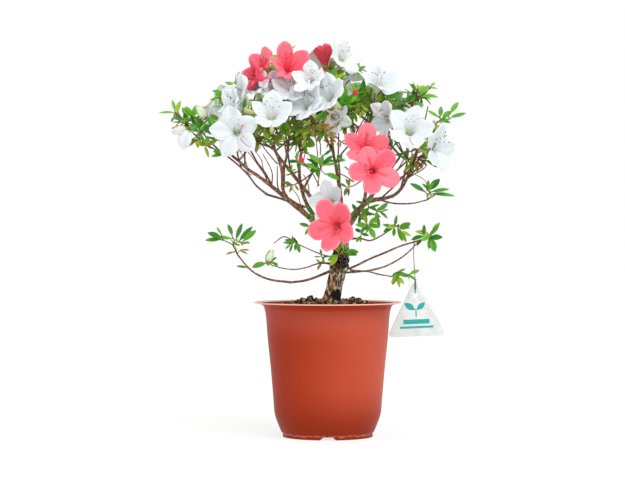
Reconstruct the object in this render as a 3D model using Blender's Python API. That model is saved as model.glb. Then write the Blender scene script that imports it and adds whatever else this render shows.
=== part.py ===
"""A small azalea trained as a tree, in flower, in its thermoformed nursery pot.

Lengths in the tables are millimetres. +Z is up and the row's front faces -Y.
The pot stands on z = 0 with its axis on the Z axis.
"""

import math
import random
from collections import namedtuple

import bmesh
import bpy
from mathutils import Matrix, Vector

MM = 0.001
GAP = 0.3  # clear space between neighbouring pieces
GOLDEN = math.radians(137.508)

# Pot: a 16 cm nursery pot, thermoformed from sheet
POT_LIP_RADIUS = 80.0
POT_LIP_Z = 144.4
POT_LIP_THICK = 1.2
POT_NECK_RADIUS = 69.4
POT_FOOT_RADIUS = 49.0
POT_FOOT_HEIGHT = 4.0
POT_WALL = 1.4
POT_FLOOR = 6.0
POT_SIDES = 32
NOTCH_WIDE = 20.0
NOTCH_NARROW = 7.5
NOTCH_HIGH = 4.1
NOTCH_INNER = 14.0

# Growing medium: fired clay granules, heaped round the stem
SOIL_PAD_Z = 143.7
SOIL_PAD_RADIUS = 19.0
SOIL_EDGE_Z = 136.0
SOIL_LUMP = 1.5
SOIL_SIDES = 20

# Trunk
TRUNK_FOOT_Z = SOIL_PAD_Z + GAP
TRUNK_PATH = ((3, 0, TRUNK_FOOT_Z), (5, 0, 152), (8, 0, 166), (11, 0, 179), (12.6, 0, 186),
              (14.2, 0, 197), (14.8, 0, 208), (14.8, 0, 216), (14.8, 0, 220))
TRUNK_RADII = (11.4, 9.4, 8.8, 9.3, 10.2, 8.6, 8.4, 7.6, 4.5)
TRUNK_SIDES = 14
TRUNK_STEPS = 13
FLARE_LOBES = 5
FLARE_DEPTH = 0.16

# Every bough: its parent, the root and tip radii, its sides, and the few points it bends through
Bough = namedtuple("Bough", "name parent root tip sides steps points")
BOUGHS = (
    Bough("left_bough", "trunk", 3.3, 2.4, 8, 6,
          ((14, 0, 215), (-10, -5, 229), (-27, -10, 243), (-47, -16, 259))),
    Bough("left_bough_outer", "left_bough", 2.2, 1.5, 6, 6,
          ((-44, -15, 257), (-60, -21, 270), (-73, -27, 280), (-85, -33, 288), (-95, -37, 297))),
    Bough("left_loop_inner", "left_bough", 1.5, 1.2, 6, 5,
          ((-20, -7, 238), (-32, -1, 250), (-47, 3, 256), (-67, 2, 262))),
    Bough("left_loop_outer", "left_loop_inner", 1.1, 0.8, 5, 7,
          ((-66, 2, 262), (-77, -2, 271), (-88, -8, 285), (-107, -16, 302), (-123, -22, 311))),
    Bough("left_inner_bough", "left_bough", 2.0, 1.4, 6, 6,
          ((-43, -15, 256), (-48, -20, 267), (-49, -26, 286), (-54, -32, 303), (-60, -40, 315))),
    Bough("left_rear_bough", "left_bough_outer", 1.2, 0.8, 5, 6,
          ((-59, -21, 269), (-67, -18, 284), (-77, -16, 298), (-88, -22, 320), (-92, -30, 338))),
    Bough("middle_bough", "left_bough", 2.3, 1.4, 7, 7,
          ((-7, -4, 227), (-20, 2, 247), (-26, 4, 260), (-30, 2, 277), (-30, -10, 299),
           (-23, -30, 322))),
    Bough("centre_bough", "middle_bough", 1.4, 1.0, 5, 4,
          ((-27, 3, 266), (-20, -8, 279), (-14, -22, 289))),
    Bough("top_left_bough", "left_inner_bough", 1.4, 1.0, 5, 6,
          ((-49, -26, 286), (-44, -16, 303), (-42, -12, 326), (-49, -14, 354))),
    Bough("right_bough", "trunk", 3.3, 2.2, 8, 6,
          ((14, 0, 214), (24, -3, 235), (35, -5, 247), (44, -7, 254), (57, -8, 257))),
    Bough("right_bough_outer", "right_bough", 2.0, 1.5, 6, 6,
          ((54, -8, 256), (70, -11, 260), (79, -13, 268), (86, -20, 281), (90, -32, 292))),
    Bough("right_inner_bough", "right_bough", 2.0, 1.2, 6, 8,
          ((38, -6, 249), (41, -6, 266), (38, -8, 286), (32, -10, 309), (25, -10, 340),
           (18, -12, 366))),
    Bough("right_top_bough", "right_inner_bough", 1.3, 0.9, 5, 5,
          ((33, -10, 306), (42, -12, 322), (45, -20, 338))),
    Bough("coral_bough", "right_inner_bough", 1.4, 1.1, 5, 4,
          ((41, -6, 268), (43, -24, 274), (44, -46, 279))),
    Bough("right_rear_bough", "right_bough_outer", 1.2, 0.8, 5, 6,
          ((79, -13, 268), (86, -4, 299), (87, -3, 326), (88, -10, 342))),
    Bough("right_side_bough", "right_bough", 1.0, 0.7, 5, 5,
          ((55, -8, 256), (72, -3, 252), (91, -6, 252), (104, -10, 255))),
    Bough("mid_right_bough", "trunk", 1.1, 0.7, 5, 7,
          ((16, -2, 212), (28, -8, 214), (36, -10, 214), (46, -11, 212), (57, -12, 217),
           (66, -14, 223))),
    Bough("lower_right_bough", "trunk", 1.3, 0.9, 5, 8,
          ((13, 0, 178), (29, -4, 184), (45, -7, 192), (62, -10, 199), (78, -13, 206),
           (98, -16, 212))),
    Bough("lower_right_low_bough", "trunk", 1.1, 0.7, 5, 6,
          ((13, -2, 177), (29, -10, 178), (42, -15, 179), (54, -19, 176), (66, -24, 174))),
    Bough("lower_left_bough", "trunk", 1.5, 1.3, 5, 5,
          ((12, 0, 183), (-9, -5, 174), (-24, -9, 169), (-40, -14, 167))),
    Bough("lower_left_bough_outer", "lower_left_bough", 1.2, 0.9, 5, 7,
          ((-39, -14, 167), (-61, -20, 170), (-76, -25, 176), (-86, -28, 184), (-94, -31, 194))),
    Bough("lower_left_twig", "trunk", 0.8, 0.6, 5, 6,
          ((12, -2, 188), (-10, -9, 187), (-23, -12, 183), (-35, -14, 181), (-47, -17, 182),
           (-58, -20, 185))),
    Bough("upper_left_twig", "trunk", 0.8, 0.6, 5, 4,
          ((14, 0, 196), (1, -4, 195), (-12, -6, 199), (-30, -8, 207))),
    Bough("back_left_bough", "trunk", 3.0, 1.5, 6, 6,
          ((14, 2, 214), (-6, 24, 243), (-30, 44, 274), (-52, 56, 302))),
    Bough("back_middle_bough", "trunk", 2.9, 1.4, 6, 6,
          ((14, 3, 215), (15, 22, 250), (11, 44, 284), (6, 58, 310))),
    Bough("back_right_bough", "trunk", 2.9, 1.4, 6, 6,
          ((15, 2, 214), (34, 22, 243), (56, 44, 270), (74, 56, 296))),
)

# Every mass: the bough it grows from and how far along that (1 = its tip), the middle and
# half sizes of its space, its leafy shoots
Mass = namedtuple("Mass", "name bough share centre reach shoots seed")
MASSES = (
    Mass("left_tip", "left_loop_outer", 1, (-150, -28, 331), (34, 30, 34), 6, 11),
    Mass("left_blossom", "left_bough_outer", 1, (-101, -72, 333), (38, 36, 42), 2, 12),
    Mass("upper_left", "left_rear_bough", 1, (-100, -46, 368), (34, 32, 33), 2, 13),
    Mass("centre_left", "left_inner_bough", 1, (-52, -72, 350), (36, 34, 38), 3, 14),
    Mass("crown_top", "top_left_bough", 1, (-58, -34, 394), (44, 34, 36), 2, 15),
    Mass("centre_blossom", "middle_bough", 1, (-3, -62, 362), (38, 38, 40), 3, 16),
    Mass("top_right", "right_inner_bough", 1, (13, -12, 398), (36, 30, 36), 3, 17),
    Mass("upper_right", "right_top_bough", 1, (48, -36, 360), (32, 32, 36), 3, 18),
    Mass("right_leaves", "right_rear_bough", 1, (92, -12, 362), (36, 32, 28), 6, 19),
    Mass("far_right", "right_bough_outer", 0.8, (133, -26, 346), (28, 24, 28), 4, 20),
    Mass("right_blossom", "right_bough_outer", 1, (96, -64, 314), (38, 36, 38), 2, 21),
    Mass("coral_pair", "coral_bough", 1, (44, -84, 300), (36, 36, 42), 1, 22),
    Mass("inner_centre", "centre_bough", 1, (-8, -42, 303), (25, 26, 30), 3, 23),
    Mass("right_side", "right_side_bough", 1, (119, -12, 263), (24, 22, 22), 3, 25),
    Mass("lower_centre", "right_bough", 0.35, (44, -32, 232), (26, 24, 26), 4, 26),
    Mass("lower_coral", "trunk", 0.85, (2, -66, 242), (38, 36, 42), 1, 27),
    Mass("lower_right", "lower_right_bough", 1, (116, -20, 220), (26, 24, 28), 4, 28),
    Mass("lower_right_small", "lower_right_low_bough", 1, (78, -30, 180), (24, 22, 25), 3, 29),
    Mass("mid_right", "mid_right_bough", 1, (80, -20, 231), (23, 22, 22), 3, 30),
    Mass("lower_left", "lower_left_bough_outer", 1, (-104, -34, 212), (33, 28, 32), 4, 31),
    Mass("lower_left_bud", "lower_left_twig", 1, (-67, -22, 194), (22, 20, 22), 2, 32),
    Mass("lower_left_small", "upper_left_twig", 1, (-38, -10, 216), (22, 20, 22), 2, 33),
    Mass("trunk_leaves", "trunk", 0.5, (17, -28, 194), (27, 22, 20), 3, 34),
    Mass("back_left", "back_left_bough", 1, (-104, 28, 340), (42, 40, 38), 4, 35),
    Mass("back_upper_left", "back_left_bough", 0.8, (-50, 44, 364), (44, 44, 42), 3, 36),
    Mass("back_top", "back_middle_bough", 0.8, (-2, 24, 386), (40, 34, 36), 3, 40),
    Mass("back_middle", "back_middle_bough", 1, (4, 70, 348), (44, 42, 44), 4, 37),
    Mass("back_right", "back_right_bough", 1, (64, 46, 346), (44, 44, 42), 4, 38),
    Mass("back_far_right", "back_right_bough", 0.75, (108, 34, 318), (32, 34, 34), 4, 39),
)

# Every bloom: its mass, throat, bearing (0 = front, 90 = right), rise, petal length, kind
Bloom = namedtuple("Bloom", "mass throat bearing rise petal kind")
BLOOMS = (
    Bloom("left_tip", (-158, -34, 333), -70, -25, 17, "bud"),
    Bloom("left_tip", (-134, -40, 350), -45, 55, 16, "bud"),
    Bloom("left_blossom", (-97, -85, 326), -15, -5, 28, "white"),
    Bloom("left_blossom", (-103, -70, 354), -75, 20, 22, "white"),
    Bloom("upper_left", (-100, -56, 374), -70, 35, 24, "white"),
    Bloom("centre_left", (-59, -85, 337), 5, 40, 27, "white"),
    Bloom("centre_left", (-38, -62, 366), 20, 30, 24, "white"),
    Bloom("crown_top", (-41, -44, 390), 20, 40, 27, "coral"),
    Bloom("crown_top", (-68, -32, 402), -60, 35, 24, "coral"),
    Bloom("crown_top", (-76, -54, 387), -50, 0, 19, "coral"),
    Bloom("crown_top", (-64, -16, 382), -170, 40, 21, "white"),
    Bloom("centre_blossom", (6, -78, 361), -45, 30, 26, "white"),
    Bloom("centre_blossom", (-17, -46, 378), -20, 20, 22, "white"),
    Bloom("centre_blossom", (4, -48, 340), 0, -15, 18, "white"),
    Bloom("top_right", (20, -18, 404), 35, 25, 25, "white"),
    Bloom("top_right", (-2, -8, 410), -20, 75, 18, "coral"),
    Bloom("upper_right", (52, -34, 373), 30, 40, 22, "white"),
    Bloom("upper_right", (59, -46, 343), -50, -10, 18, "white"),
    Bloom("right_blossom", (84, -74, 320), 0, 50, 27, "white"),
    Bloom("right_blossom", (112, -46, 308), 80, 5, 23, "white"),
    Bloom("coral_pair", (42, -76, 316), 0, 10, 26, "coral"),
    Bloom("coral_pair", (46, -95, 285), 8, -5, 28, "coral"),
    Bloom("lower_coral", (9, -77, 229), -15, -10, 28, "coral"),
    Bloom("lower_coral", (-5, -50, 262), -20, 15, 24, "white"),
    Bloom("lower_left_bud", (-63, -20, 192), 0, 75, 13, "bud"),
    Bloom("back_left", (-122, 28, 340), -100, 20, 25, "white"),
    Bloom("back_left", (-108, 46, 356), -150, 35, 25, "white"),
    Bloom("back_upper_left", (-60, 60, 372), -170, 35, 26, "white"),
    Bloom("back_upper_left", (-46, 50, 388), 175, 60, 24, "coral"),
    Bloom("back_top", (-12, 26, 398), 175, 70, 25, "white"),
    Bloom("back_top", (16, 36, 392), 150, 45, 23, "white"),
    Bloom("back_middle", (-8, 86, 346), -175, 15, 26, "white"),
    Bloom("back_middle", (20, 80, 366), 160, 40, 25, "coral"),
    Bloom("back_right", (58, 66, 362), 170, 40, 26, "white"),
    Bloom("back_right", (84, 62, 344), 150, 25, 25, "white"),
    Bloom("back_far_right", (122, 40, 322), 105, 20, 24, "white"),
)

# Growth rule
SIDE_STEM_RADIUS = 1.0  # a stem that leaves from the side of a limb
SHOOT_RADIUS = 0.6
TWIG_RADIUS = 0.9
SHORT_TWIG = 15.0  # a twig under this length is straight
BLOOM_SUNK = 3.0  # how far a twig runs up into its bloom
LEAVES_A_SHOOT = 4
LEAVES_A_BLOOM = 2
LEAF_LENGTH = 26.0
LEAF_WIDTH = 10.0
LEAF_SHARE = 0.72  # a leaf's length in a small mass, as a share of its mean half size
LEAF_THICK = 0.6
LEAF_ROOT = 0.1  # how far a leaf's root is sunk past its twig's axis
LEAF_ROOM = 3.0  # how far apart leaves keep
PETAL_ROOM = 7.0  # and from the middle of a petal
LEAF_FIRST = 1.2  # the top leaf's place below its twig's end
LEAF_STEP = 2.2  # from each leaf to the next one down
TUBE_LENGTH = 17.0
TUBE_RADIUS = 4.6
PETAL_SHELL = 1.0
PETAL_LEAST = 0.62  # how much of a petal is left where it is drawn back
BUD_RADIUS = 4.2

NEAR_LIMB = 10.0  # a mass with a corner this near a limb is cut clear of it
THINNING = 0.78  # the share of a mass's faces kept after its union

# Plant tag on its wire
TAG_TOP = (93.4, -18.0, 166.5)
TAG_WIDTH = 60.0
TAG_HEIGHT = 57.5
TAG_CORNER = 4.0
TAG_THICK = 1.0
TAG_HOLE_DROP = 13.0
TAG_HOLE_RADIUS = 2.8
TAG_TILT = math.radians(2.4)
WIRE_RADIUS = 0.45
WIRE_SHARE = 0.95  # how far along the lower right bough the wire hangs

COLOURS = {
    "plastic": (0.36, 0.075, 0.045, 1),
    "soil": (0.16, 0.085, 0.035, 1),
    "bark": (0.17, 0.09, 0.05, 1),
    "leaf": (0.09, 0.29, 0.03, 1),
    "white": (0.80, 0.82, 0.78, 1),
    "coral": (0.85, 0.10, 0.11, 1),
    "tag": (0.75, 0.80, 0.78, 1),
    "wire": (0.10, 0.10, 0.11, 1),
}


# ---------------------------------------------------------------- small helpers

def clear_scene():
    for obj in list(bpy.data.objects):
        bpy.data.objects.remove(obj)


def material(name, roughness=0.6, metallic=0.0):
    made = bpy.data.materials.get(name) or bpy.data.materials.new(name)
    made.use_nodes = True
    shader = made.node_tree.nodes["Principled BSDF"]
    shader.inputs["Base Color"].default_value = COLOURS[name]
    shader.inputs["Roughness"].default_value = roughness
    shader.inputs["Metallic"].default_value = metallic
    made.diffuse_color = COLOURS[name]
    return made


def object_of(name, verts, faces, collection=None):
    mesh = bpy.data.meshes.new(name)
    mesh.from_pydata([tuple(v) for v in verts], [], faces)
    obj = bpy.data.objects.new(name, mesh)
    (collection or bpy.context.scene.collection).objects.link(obj)
    return obj


def smooth(obj, angle=40):
    obj.data.shade_smooth()
    obj.data.set_sharp_from_angle(angle=math.radians(angle))


def spline(points, steps):
    """Evenly shared points on a smooth curve through the given ones."""
    points = [Vector(p) for p in points]
    path = [points[0] * 2 - points[1], *points, points[-1] * 2 - points[-2]]
    out = []
    for i in range(steps + 1):
        at = i / steps * (len(points) - 1)
        k = min(int(at), len(points) - 2)
        t = at - k
        a, b, c, d = path[k:k + 4]
        out.append(0.5 * (2 * b + (c - a) * t + (2 * a - 5 * b + 4 * c - d) * t ** 2
                          + (3 * b - a - 3 * c + d) * t ** 3))
    return out


def blend(values, steps):
    """The values shared over a number of steps, in straight lines between them."""
    out = []
    for i in range(steps + 1):
        at = i / steps * (len(values) - 1)
        k = min(int(at), len(values) - 2)
        out.append(values[k] + (values[k + 1] - values[k]) * (at - k))
    return out


def frames(path):
    """A (along, side, up) triple at every point, turned as little as possible."""
    side = Vector((0, 1, 0))
    out = []
    for i, here in enumerate(path):
        along = (path[min(i + 1, len(path) - 1)] - path[max(i - 1, 0)]).normalized()
        side = side - along * side.dot(along)
        if side.length < 0.1:
            side = along.orthogonal()
        side.normalize()
        out.append((along, side.copy(), along.cross(side)))
    return out


def tube(path, radii, sides, radius_at=None):
    """A closed round bar along a path, as verts and faces, with flat ends."""
    verts = []
    for i, (here, (_, side, up)) in enumerate(zip(path, frames(path))):
        for k in range(sides):
            angle = math.tau * k / sides
            radius = radii[i] * (radius_at(i, angle) if radius_at else 1)
            verts.append(here + (side * math.cos(angle) + up * math.sin(angle)) * radius)
    faces = []
    for i in range(len(path) - 1):
        for k in range(sides):
            a, b = i * sides + k, i * sides + (k + 1) % sides
            faces.append((a, b, b + sides, a + sides))
    last = (len(path) - 1) * sides
    faces.append(tuple(reversed(range(sides))))
    faces.append(tuple(range(last, last + sides)))
    return verts, faces


def lathe(profile, sides, lift=None):
    """A solid turned round Z from (radius, z) pairs that start and end on the axis."""
    verts, rings = [], []
    for j, (radius, z) in enumerate(profile):
        count = 1 if radius == 0 else sides
        rings.append(range(len(verts), len(verts) + count))
        for k in range(count):
            angle = math.tau * k / sides
            up = lift(j, k) if lift else 0
            verts.append(Vector((radius * math.cos(angle), radius * math.sin(angle), z + up)))
    faces = []
    for low, high in zip(rings, rings[1:]):
        for k in range(sides):
            a, b = low[k % len(low)], low[(k + 1) % len(low)]
            c, d = high[(k + 1) % len(high)], high[k % len(high)]
            faces.append(tuple(dict.fromkeys((a, b, c, d))))
    return verts, faces


def joined(base, operand, operation, collection=False):
    """The base object's mesh after one Boolean, worked out in millimetres and applied."""
    step = base.modifiers.new("join", "BOOLEAN")
    step.operation = operation
    step.solver = "EXACT"
    if collection:
        step.operand_type = "COLLECTION"
        step.collection = operand
    else:
        step.object = operand
    graph = bpy.context.evaluated_depsgraph_get()
    mesh = bpy.data.meshes.new_from_object(base.evaluated_get(graph))
    base.modifiers.clear()
    return mesh


def keep_largest(mesh):
    """Drops the loose scraps and the sealed hollows that a Boolean leaves."""
    bm = bmesh.new()
    bm.from_mesh(mesh)
    bm.verts.ensure_lookup_table()
    seen, groups = set(), []
    for seed in bm.verts:
        if seed.index in seen:
            continue
        group, queue = [], [seed]
        seen.add(seed.index)
        while queue:
            vert = queue.pop()
            group.append(vert)
            for edge in vert.link_edges:
                other = edge.other_vert(vert)
                if other.index not in seen:
                    seen.add(other.index)
                    queue.append(other)
        groups.append(group)
    groups.sort(key=len)
    for group in groups[:-1]:
        bmesh.ops.delete(bm, geom=group, context="VERTS")
    bmesh.ops.triangulate(bm, faces=bm.faces)
    bm.to_mesh(mesh)
    bm.free()


def finish(obj, name, material_name, roughness=0.6, metallic=0.0):
    """Brings a piece from millimetres to metres and gives it its name and material."""
    obj.data.transform(Matrix.Scale(MM, 4))
    obj.name = name
    obj.data.name = name
    obj.data.materials.clear()
    obj.data.materials.append(material(material_name, roughness, metallic))
    smooth(obj)
    return obj


# ---------------------------------------------------------------- pot and soil

def pot_outside():
    """The outer profile from the foot up to the lip, as (radius, z) pairs."""
    foot = POT_FOOT_RADIUS
    return [(foot, 0), (foot, POT_FOOT_HEIGHT), (53.2, 12.6),
            (57.4, 25), (58.8, 40), (61.8, 75), (64.9, 105), (67.0, 131),
            (POT_NECK_RADIUS, 141), (72.6, 143.1), (POT_LIP_RADIUS, POT_LIP_Z)]


def pot_inside(clear=0.0):
    """The inner profile from the floor up to the neck, drawn in by a clearance."""
    wall = [(48.0, POT_FLOOR), (50.6, POT_FLOOR + 3)]
    wall += [(r - POT_WALL, z) for r, z in pot_outside()[3:-2]]
    return [(r - clear, z) for r, z in wall]


def build_pot():
    lip = [(POT_LIP_RADIUS, POT_LIP_Z + POT_LIP_THICK), (71.6, 144.3)]
    profile = [(0, 0), *pot_outside(), *lip, *pot_inside()[::-1], (0, POT_FLOOR)]
    obj = object_of("pot", *lathe(profile, POT_SIDES))
    cutter = object_of("notches", *notch_prisms())
    obj.data = joined(obj, cutter, "DIFFERENCE")
    bpy.data.objects.remove(cutter)
    return finish(obj, "pot", "plastic", 0.4)


def notch_prisms():
    """Four drainage channels that run in from the foot ring."""
    verts, faces = [], []
    half = ((-NOTCH_WIDE / 2, -1), (NOTCH_WIDE / 2, -1),
            (NOTCH_NARROW / 2, NOTCH_HIGH), (-NOTCH_NARROW / 2, NOTCH_HIGH))
    for quarter in range(4):
        turn = Matrix.Rotation(math.radians(90 * quarter), 3, "Z")
        start = len(verts)
        for depth in (-POT_FOOT_RADIUS - 5, -NOTCH_INNER):
            verts += [turn @ Vector((x, depth, z)) for x, z in half]
        faces += [tuple(start + i for i in f) for f in
                  ((0, 1, 2, 3), (7, 6, 5, 4), (0, 4, 5, 1), (1, 5, 6, 2), (2, 6, 7, 3),
                   (3, 7, 4, 0))]
    return verts, faces


def build_soil():
    rng = random.Random(5)
    side = [(r, max(z, POT_FLOOR + GAP)) for r, z in pot_inside(GAP + 0.1)[:-1]]
    rim = (side[-1][0] + 0.8, SOIL_EDGE_Z)
    top = [rim, (58, 139), (46, 142.5), (34, 145.2), (25, 145.2), (SOIL_PAD_RADIUS, SOIL_PAD_Z)]
    profile = [(0, POT_FLOOR + GAP), *side, *top, (0, SOIL_PAD_Z)]
    lumpy = range(len(side) + 2, len(side) + 6)
    lift = [[rng.uniform(-SOIL_LUMP, SOIL_LUMP) for _ in range(SOIL_SIDES)] for _ in profile]
    shape = lathe(profile, SOIL_SIDES, lambda j, k: lift[j][k] if j in lumpy else 0)
    return finish(object_of("soil", *shape), "soil", "soil", 0.95)


# ---------------------------------------------------------------- trunk and boughs

def limb_table():
    """Path and radii of the trunk, of every bough and of the tag's wire, by name."""
    table = {"trunk": (spline(TRUNK_PATH, TRUNK_STEPS), blend(TRUNK_RADII, TRUNK_STEPS))}
    for bough in BOUGHS:
        path = spline(bough.points, bough.steps)
        table[bough.name] = (path, blend((bough.root, bough.tip), bough.steps))
    wire = wire_path(table)
    table["tag_wire"] = (wire, [WIRE_RADIUS] * len(wire))
    return table


def trunk_relief():
    """The flare of the roots at the foot and the lumps of old bark above it."""
    rng = random.Random(3)
    lumps = [[rng.uniform(-0.05, 0.05) for _ in range(TRUNK_SIDES)]
             for _ in range(TRUNK_STEPS + 1)]

    def radius_at(i, angle):
        flare = FLARE_DEPTH * max(0.0, 1 - i / 2) * math.cos(FLARE_LOBES * angle)
        return 1 + flare + lumps[i][round(angle / math.tau * TRUNK_SIDES) % TRUNK_SIDES]

    return radius_at


def limb_solid(name, limbs, swell=0.0):
    path, radii = limbs[name]
    radii = [r + swell for r in radii]
    sides = {b.name: b.sides for b in BOUGHS}.get(name, TRUNK_SIDES)
    relief = trunk_relief() if name == "trunk" else None
    verts, faces = tube(path, radii, sides, relief)
    if name == "trunk":
        for vert in verts[:TRUNK_SIDES]:
            vert.z = TRUNK_FOOT_Z
    return verts, faces


def segment_gap(point, a, b):
    """How far a point lies from the line between a and b, and the share along it."""
    along = b - a
    share = max(0.0, min(1.0, (point - a).dot(along) / max(along.length_squared, 1e-9)))
    return (point - a - along * share).length, share


def limb_gap(point, limb):
    """Clear distance from a point to a limb's skin."""
    path, radii = limb
    best = 1e9
    for i in range(len(path) - 1):
        gap, share = segment_gap(point, path[i], path[i + 1])
        best = min(best, gap - radii[i] - (radii[i + 1] - radii[i]) * share)
    return best


def swept_points(path):
    """Points along a path, near enough together for a gap test."""
    out = []
    for a, b in zip(path, path[1:]):
        count = max(1, math.ceil((b - a).length / 1.5))
        out += [a.lerp(b, i / count) for i in range(count)]
    return out + [path[-1]]


def build_limbs(limbs):
    """The trunk, then every bough cut back to sit on the limbs before it."""
    done = []
    for name in ["trunk"] + [b.name for b in BOUGHS]:
        obj = object_of(name, *limb_solid(name, limbs))
        path, radii = limbs[name]
        points = swept_points(path)
        for other in done:
            if min(limb_gap(p, limbs[other]) for p in points) > max(radii) + GAP:
                continue
            cutter = object_of("cutter", *limb_solid(other, limbs, GAP))
            obj.data = joined(obj, cutter, "DIFFERENCE")
            bpy.data.objects.remove(cutter)
            keep_largest(obj.data)
        finish(obj, name, "bark", 0.85)
        done.append(name)


# ---------------------------------------------------------------- foliage and blossom

def heading(bearing, rise):
    """A unit vector from a bearing (0 = front, 90 = right) and a rise, in degrees."""
    turn, lift = math.radians(bearing), math.radians(rise)
    return Vector((math.sin(turn) * math.cos(lift), -math.cos(turn) * math.cos(lift),
                   math.sin(lift)))


def leaf_solid(foot, along, line, length, width):
    """A slim leaf: a deep root edge sunk in the twig, two wide points and a tip."""
    side = along.cross(line).normalized()
    over = side.cross(along)
    root = foot - along * LEAF_ROOT
    wide = root + along * length * 0.48 - over * width * 0.1
    verts = [root + over * LEAF_THICK / 2, root - over * LEAF_THICK / 2,
             wide + side * width / 2, wide - side * width / 2, root + along * length]
    faces = [(0, 2, 4), (0, 4, 3), (1, 4, 2), (1, 3, 4), (0, 1, 2), (0, 3, 1)]
    return verts, faces


def bloom_solid(base, along, petal):
    """A funnel of five petals, one closed shell that tapers to its rim."""
    side = along.orthogonal().normalized()
    up = along.cross(side)

    def at(radius, height, angle):
        spoke = side * math.cos(angle) + up * math.sin(angle)
        return base + spoke * radius + along * height

    verts = [at(0, -1.5, 0), at(0, TUBE_LENGTH * 0.45, 0)]
    fifth = math.tau / 5
    outer = [at(TUBE_RADIUS, TUBE_LENGTH, fifth * (k + 0.5)) for k in range(5)]
    inner = [at(TUBE_RADIUS - PETAL_SHELL, TUBE_LENGTH + PETAL_SHELL, fifth * (k + 0.5))
             for k in range(5)]
    rim = []
    for k in range(5):
        middle = fifth * (k + 1)
        rim += [at(petal * 0.40, TUBE_LENGTH + petal * 0.20, middle - fifth / 2),
                at(petal * 0.95, TUBE_LENGTH + petal * 0.42, middle - fifth * 0.24),
                at(petal * 0.95, TUBE_LENGTH + petal * 0.42, middle + fifth * 0.24)]
    verts += outer + inner + rim
    faces = []
    for k in range(5):
        o, p = 2 + k, 2 + (k + 1) % 5
        i, j = 7 + k, 7 + (k + 1) % 5
        a = 12 + 3 * k
        b, c, d = a + 1, a + 2, 12 + (3 * k + 3) % 15
        faces += [(0, p, o), (o, b, a), (o, p, c), (o, c, b), (p, d, c)]
        faces += [(1, i, j), (i, a, b), (i, c, j), (i, b, c), (j, c, d)]
    return verts, faces


def bud_solid(base, along, length):
    """A plump four-sided bud."""
    side = along.orthogonal().normalized()
    up = along.cross(side)
    verts = [base - along * 1.5, base + along * length]
    middle = base + along * length * 0.4
    verts += [middle + side * BUD_RADIUS, middle + up * BUD_RADIUS,
              middle - side * BUD_RADIUS, middle - up * BUD_RADIUS]
    faces = []
    for k in range(4):
        a, b = 2 + k, 2 + (k + 1) % 4
        faces += [(0, b, a), (1, a, b)]
    return verts, faces


def rest_of(mass):
    """The mean half size of a mass's space."""
    return (mass.reach[0] * mass.reach[1] * mass.reach[2]) ** (1 / 3)


def inside(point, mass):
    """Whether a point lies in the mass's own space, clear of every other mass's."""
    centre = Vector(mass.centre)
    off = point - centre
    if sum((off[k] / mass.reach[k]) ** 2 for k in range(3)) > 1:
        return False
    own = off.length_squared - rest_of(mass) ** 2
    for other in MASSES:
        if other.name == mass.name:
            continue
        away = Vector(other.centre)
        theirs = (point - away).length_squared - rest_of(other) ** 2
        if theirs - own < GAP * 2 * (away - centre).length:
            return False
    return True


def clear_of(point, radius, limbs):
    """Whether a point is clear of every limb."""
    return all(limb_gap(point, limb) > radius + GAP for limb in limbs.values())


def root_of(mass, limbs):
    """Where a mass's stem starts on its limb, which way it leaves, and its radius."""
    path, radii = limbs[mass.bough]
    centre = Vector(mass.centre)
    along = (path[-1] - path[-2]).normalized()
    if mass.share == 1:
        return path[-1] + along * GAP, along, radii[-1]
    i = round(mass.share * (len(path) - 1))
    line = (path[i + 1] - path[i - 1]).normalized()
    away = centre - path[i]
    out = (away - line * away.dot(line)).normalized()
    way = out if mass.bough == "trunk" else (out * 0.6 + line * 0.8).normalized()
    return path[i] + out * radii[i] * 0.4, way, SIDE_STEM_RADIUS


def crowded(point, taken):
    """Whether a point is too near a leaf, a twig or a bloom that is already there."""
    return any(segment_gap(point, a, b)[0] < room for a, b, room in taken)


def shoot_tips(mass, root, rng):
    """Ends of the leafy shoots, spread evenly over the space by the golden angle."""
    centre, out = Vector(mass.centre), []
    back = (root - centre).normalized()
    furthest = max(0.3, 1 - 0.75 * LEAF_LENGTH / rest_of(mass))
    total = mass.shoots * 3
    for k in range(total):
        height = 1 - 2 * (k + 0.5) / total
        ring = math.sqrt(1 - height * height)
        angle = k * GOLDEN + mass.seed
        way = Vector((ring * math.cos(angle), ring * math.sin(angle), height))
        if way.dot(back) > 0.55:
            continue
        share = rng.uniform(0.65, 1.0) * furthest
        tip = centre + Vector([way[a] * mass.reach[a] * share for a in range(3)])
        out.append((tip, (way + Vector((0, 0, 0.5))).normalized()))
    return out


def twig_between(start, end, way, steps):
    """A slightly bowed twig that arrives at its end in the given direction."""
    reach = (end - start).length
    bend = end - way * reach * 0.35
    return [start.lerp(bend, t).lerp(bend.lerp(end, t), t)
            for t in [i / steps for i in range(steps + 1)]]


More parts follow.
